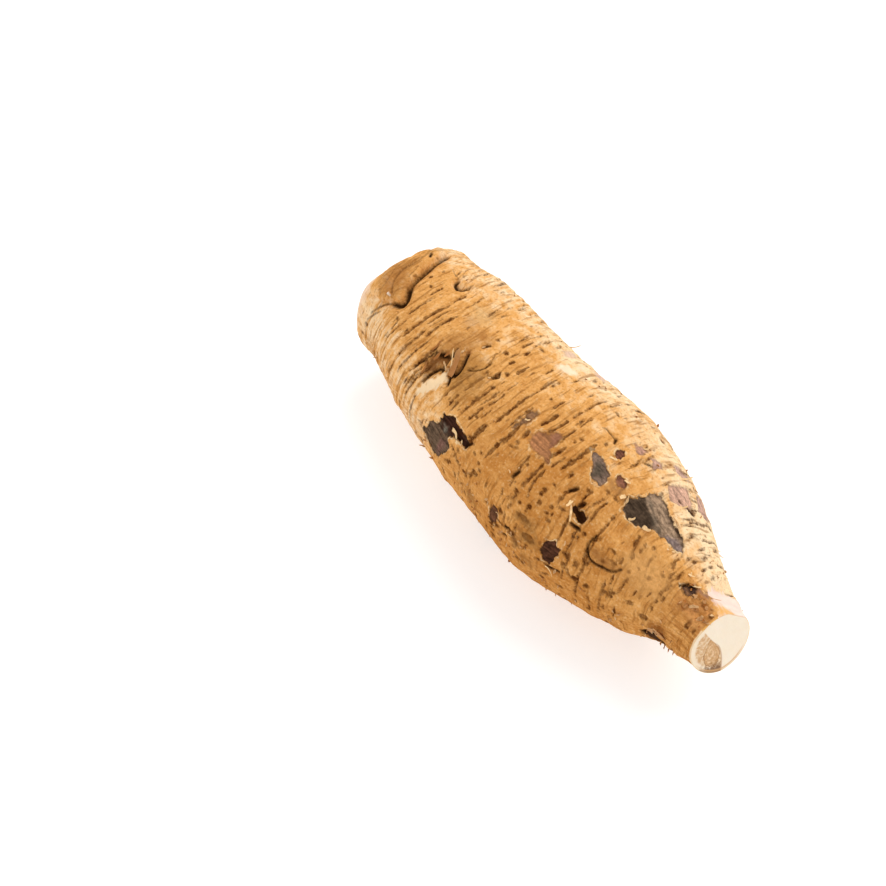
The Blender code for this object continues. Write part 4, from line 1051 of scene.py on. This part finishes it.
def fresh_cut_flesh():
    """Starchy flesh just cut through: smooth, pale cream and a little see-through. The second cut, on the
    far side of the ridge, shows the old core with its rings, a paler band by the rim and a brown foot."""
    material, tree, shader = start_material("fresh_cut_flesh")
    grain = add(tree, "Attribute", give="Vector", attribute_name="grain")
    inner, past = (add(tree, "Attribute", give="Fac", attribute_name=name)
                   for name in ("from_middle", "past_ridge"))
    height = add(tree, "SeparateXYZ", {"Vector": grain}, give="Z")
    soft, fibre, bend = (
        add(tree, "TexNoise", {"Vector": grain, "Scale": 1 / across, "Detail": detail, "Distortion": twist})
        for across, detail, twist in ((5, 4.0, 0.0), (1.6, 5.0, 0.6), (3.5, 3.0, 0.0)))
    wavy = add(tree, "Math", {0: fibre, 1: 0.5}, operation="SUBTRACT")

    # The core: an upright almond, pointed at its top, whose outline is at CORE_EDGE
    centred = add(tree, "Mapping", {
        "Vector": grain, "Scale": (0, 1 / CORE_HALF_WIDTH, 1 / CORE_HALF_HEIGHT),
        "Location": (0, -CORE_SIDEWAYS / CORE_HALF_WIDTH, -CORE_HEIGHT / CORE_HALF_HEIGHT)})
    upright = add(tree, "SeparateXYZ", {"Vector": centred}, give="Z")
    across = upright.node.outputs["Y"]
    pointed = add(tree, "MapRange", dict(zip(RANGE, (upright, -0.2, 1, 1.0, 2.4))))
    sideways = add(tree, "Math", {0: across, 1: pointed}, operation="MULTIPLY")
    almond = add(tree, "CombineXYZ", {"Y": sideways, "Z": upright})
    from_core = add(tree, "VectorMath", {0: almond}, operation="LENGTH")
    for pattern, amount in ((bend, 0.5), (wavy, 0.3)):
        from_core = add(tree, "Math", {0: pattern, 1: amount, 2: from_core}, operation="MULTIPLY_ADD")
    wave = add(tree, "Math", {0: from_core, 1: CORE_RINGS * 2 * np.pi}, operation="MULTIPLY")
    waves = add(tree, "Math", {0: wave}, operation="SINE")

    # How far a place is from the core's outline, from the ridge, and from the line inside the rim
    off_core, off_rim_line = (
        add(tree, "Math", {0: place, 1: middle}, operation="SUBTRACT")
        for place, middle in ((from_core, CORE_EDGE), (inner, RIM_LINE)))
    from_outline, from_ridge, from_rim_line = (
        add(tree, "Math", {0: distance}, operation="ABSOLUTE")
        for distance in (off_core, past, off_rim_line))
    banded = add(tree, "Math", {0: wavy, 1: 0.12, 2: inner}, operation="MULTIPLY_ADD")
    low = add(tree, "Math", {0: wavy, 1: 9.0, 2: height}, operation="MULTIPLY_ADD")
    share = {name: add(tree, "MapRange", dict(zip(RANGE, row))) for name, row in {
        "fibres": (fibre, 0.4, 0.62, 0, 1),
        "band": (banded, 0.80, 0.86, 0, 1),
        "foot": (low, CORE_HEIGHT - 6, CORE_HEIGHT - 10.5, 0, 0.95),
        "in_core": (from_core, CORE_EDGE + 0.05, CORE_EDGE - 0.03, 0, 1),
        "core_rings": (waves, 0.1, 1.0, 0, 0.5),
        "outline": (from_outline, 0.07, 0.02, 0, 0.75),
        "second_cut": (past, 0.0, 0.4, 0, 1),
        "on_ridge": (from_ridge, 0.5, 0.15, 0, 0.6),
        "ridge_low": (height, CORE_HEIGHT + 5, CORE_HEIGHT + 2, 0, 1),
        "skin_edge": (inner, 0.965, 1.0, 0, 0.8),
        "rim_line": (from_rim_line, 0.05, 0.01, 0, 0.8),
        "rim_low": (height, CORE_HEIGHT - 4, CORE_HEIGHT - 10, 0, 1),
    }.items()}
    ridge_line = add(tree, "Math", {0: share["on_ridge"], 1: share["ridge_low"]}, operation="MULTIPLY")
    lining = add(tree, "Math", {0: share["rim_line"], 1: share["rim_low"]}, operation="MULTIPLY")

    # The second cut is tan with paler fibres and a band, then the core with its outline, and the foot
    cream, tan, ringed = (
        add(tree, "Mix", {0: amount, 6: rgba(first), 7: rgba(second)}, data_type="RGBA")
        for amount, first, second in ((soft, "#F0DEC4", "#F8EAD6"), (share["fibres"], "#D2A474", "#E8CDA8"),
                                      (share["core_rings"], "#E6C296", "#A87444")))
    core = add(tree, "Mix", {0: share["fibres"], 6: rgba("#C9965E"), 7: ringed}, data_type="RGBA")
    for amount, over in ((share["band"], rgba("#F2E0C6")), (share["in_core"], core),
                         (share["outline"], rgba("#9C6A38")), (share["foot"], rgba("#7C5430"))):
        tan = add(tree, "Mix", {0: amount, 6: tan, 7: over}, data_type="RGBA")

    # Over the cream: the second cut, a thin brown line down the ridge, the skin's cut edge and its lining
    for amount, over in ((share["second_cut"], tan), (ridge_line, rgba("#B07C48")),
                         (share["skin_edge"], rgba("#E3C08F")), (lining, rgba("#D6A46C"))):
        cream = add(tree, "Mix", {0: amount, 6: cream, 7: over}, data_type="RGBA")
    tree.links.new(cream, shader.inputs["Base Color"])
    bump = add(tree, "Bump", {"Height": fibre, "Distance": 0.3 * MM, "Strength": 0.4})
    tree.links.new(bump, shader.inputs["Normal"])
    shader.inputs["Roughness"].default_value = 0.5
    shader.inputs["Specular IOR Level"].default_value = 0.25
    shader.inputs["Subsurface Weight"].default_value = 0.2
    shader.inputs["Subsurface Radius"].default_value = (1.0, 0.7, 0.45)
    shader.inputs["Subsurface Scale"].default_value = 1.2 * MM
    return material


def dried_cut_flesh():
    """Flesh cut or broken when the root was lifted, since dried: pinkish tan and fibrous, in faint rings
    round the middle, browner at the rim."""
    material, tree, shader = start_material("dried_cut_flesh")
    grain = add(tree, "Attribute", give="Vector", attribute_name="grain")
    inner = add(tree, "Attribute", give="Fac", attribute_name="from_middle")
    speck = add(tree, "TexNoise", {"Vector": grain, "Scale": 1 / 2.5, "Detail": 6.0, "Roughness": 0.65})
    bent, wavy = (add(tree, "Math", {0: speck, 1: amount, 2: inner}, operation="MULTIPLY_ADD")
                  for amount in (0.35, 0.12))
    wave = add(tree, "Math", {0: bent, 1: DRIED_RINGS * 2 * np.pi}, operation="MULTIPLY")
    waves = add(tree, "Math", {0: wave}, operation="SINE")
    ringed = add(tree, "Math", {0: waves, 1: 0.07, 2: speck}, operation="MULTIPLY_ADD")
    specks, edge = (add(tree, "MapRange", dict(zip(RANGE, row)))
                    for row in ((ringed, 0.35, 0.7, 0, 1), (wavy, 0.98, 1.08, 0, 1)))
    colour = rgba("#C89C70")
    for amount, over in ((specks, "#EAD0B2"), (edge, "#C99A66")):
        colour = add(tree, "Mix", {0: amount, 6: colour, 7: rgba(over)}, data_type="RGBA")
    tree.links.new(colour, shader.inputs["Base Color"])
    bump = add(tree, "Bump", {"Height": speck, "Distance": MM, "Strength": 0.5})
    tree.links.new(bump, shader.inputs["Normal"])
    shader.inputs["Roughness"].default_value = 0.75
    return material


def curled_bark():
    """Thin cork torn loose and curled: brown or tan, and the palest nearly cream on edge and lifted tip."""
    material, tree, shader = start_material("curled_bark")
    tip, edge, shade = (add(tree, "Attribute", give="Fac", attribute_name=name)
                        for name in ("tip", "edge", "shade"))
    grain = add(tree, "Attribute", give="Vector", attribute_name="grain")
    fine = add(tree, "TexNoise", {"Vector": grain, "Scale": 1 / 1.2, "Detail": 3.0})
    brown, by_edge, by_tip, paler_share = (
        add(tree, "MapRange", dict(zip(RANGE, row)))
        for row in ((fine, 0.5, 0.7, 0, 0.6), (edge, 0.75, 0.97, 0, 0.9), (tip, 0.6, 1.0, 0, 0.45),
                    (shade, 0, 1, 0.22, 1)))
    worn = add(tree, "Math", {0: by_edge, 1: by_tip}, operation="MAXIMUM")
    creamy = add(tree, "Math", {0: worn, 1: paler_share}, operation="MULTIPLY")
    colour = rgba("#A4662E")
    for amount, over in ((shade, "#F0CC98"), (brown, "#8E5626"), (creamy, "#F0CB92")):
        colour = add(tree, "Mix", {0: amount, 6: colour, 7: rgba(over)}, data_type="RGBA")
    tree.links.new(colour, shader.inputs["Base Color"])
    shader.inputs["Roughness"].default_value = 0.7
    shader.inputs["Specular IOR Level"].default_value = 0.1
    return material


def dry_rootlet():
    """Root hair dried brown, like twisted thread: orange-brown, darker where it leaves the skin."""
    material, tree, shader = start_material("dry_rootlet")
    tip = add(tree, "Attribute", give="Fac", attribute_name="tip")
    colour = add(tree, "Mix", {0: tip, 6: rgba("#7A4820"), 7: rgba("#C48A4C")}, data_type="RGBA")
    tree.links.new(colour, shader.inputs["Base Color"])
    shader.inputs["Roughness"].default_value = 0.7
    return material


# The camera looks down on the root from beside its neck, from far off. The photograph is 886 pixels wide.
PHOTO_SIDE = 886
FOCAL_PIXELS = 2340
CAMERA_AZIMUTH, CAMERA_ELEVATION = np.radians(53.5), np.radians(47.5)
CAMERA_DISTANCE = 1.1
VIEW_CENTRE = Vector((-0.0330, -0.0388, 0.0519))
SENSOR_WIDTH = 36.0

# Soft lights: strength, apparent width in degrees, colour, and the direction that they come from
LIGHTS = {
    "window": (1.6, 50, "#FFFBF4", (0.05, 0.50, 0.85)),
    "far_window": (0.6, 60, "#FFFFFF", (-0.60, -0.60, 0.50)),
}
DAYLIGHT = 0.70
FLOOR_HALF, FLOOR_GLOW = 3.0, 0.54


def stand_camera():
    """The photograph's view: level, with no shift."""
    back = Vector((np.sin(CAMERA_AZIMUTH) * np.cos(CAMERA_ELEVATION),
                   -np.cos(CAMERA_AZIMUTH) * np.cos(CAMERA_ELEVATION), np.sin(CAMERA_ELEVATION)))
    right = Vector((np.cos(CAMERA_AZIMUTH), np.sin(CAMERA_AZIMUTH), 0))
    data = bpy.data.cameras.new("camera")
    data.sensor_width = SENSOR_WIDTH
    data.lens = FOCAL_PIXELS / PHOTO_SIDE * SENSOR_WIDTH
    camera = bpy.data.objects.new("camera", data)
    camera.matrix_world = Matrix.Translation(VIEW_CENTRE + back * CAMERA_DISTANCE) @ Matrix(
        (right, back.cross(right), back)).transposed().to_4x4()
    bpy.context.scene.collection.objects.link(camera)
    bpy.context.scene.camera = camera


def lay_floor():
    """A wide flat floor, matt and white, lit a little from below as a light table is."""
    material, tree, shader = start_material("matt_white_floor")
    shader.inputs["Base Color"].default_value = rgba("#CCCCCC")
    shader.inputs["Roughness"].default_value = 0.9
    shader.inputs["Emission Color"].default_value = rgba("#FFFFFF")
    shader.inputs["Emission Strength"].default_value = FLOOR_GLOW
    mesh = bpy.data.meshes.new("floor")
    corners = [(-1, -1), (1, -1), (1, 1), (-1, 1)]
    mesh.from_pydata([(FLOOR_HALF * x, FLOOR_HALF * y, 0) for x, y in corners], [], [(0, 1, 2, 3)])
    mesh.materials.append(material)
    floor = bpy.data.objects.new("floor", mesh)
    bpy.context.scene.collection.objects.link(floor)


def light():
    """Even white light from all round, and broad soft lights from two sides."""
    world = bpy.data.worlds.new("studio")
    world.use_nodes = True
    world.node_tree.nodes["Background"].inputs["Color"].default_value = rgba("#FFFFFF")
    world.node_tree.nodes["Background"].inputs["Strength"].default_value = DAYLIGHT
    bpy.context.scene.world = world
    for name, (strength, width, colour, source) in LIGHTS.items():
        sun = bpy.data.lights.new(name, "SUN")
        sun.energy = strength
        sun.angle = np.radians(width)
        sun.color = linear(colour)
        lamp = bpy.data.objects.new(name, sun)
        lamp.matrix_world = Vector(source).to_track_quat("Z", "Y").to_matrix().to_4x4()
        bpy.context.scene.collection.objects.link(lamp)


stand_camera()
lay_floor()
light()
bpy.context.scene.view_settings.view_transform = "Standard"

skin, shift = tuber([dry_cork_skin(), fresh_cut_flesh(), dried_cut_flesh()])
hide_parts("tuber")
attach(skin, "root")

scales = bark_scales(shift, curled_bark())
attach(scales, "root")

hairs = rootlets(shift, dry_rootlet())
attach(hairs, "root")
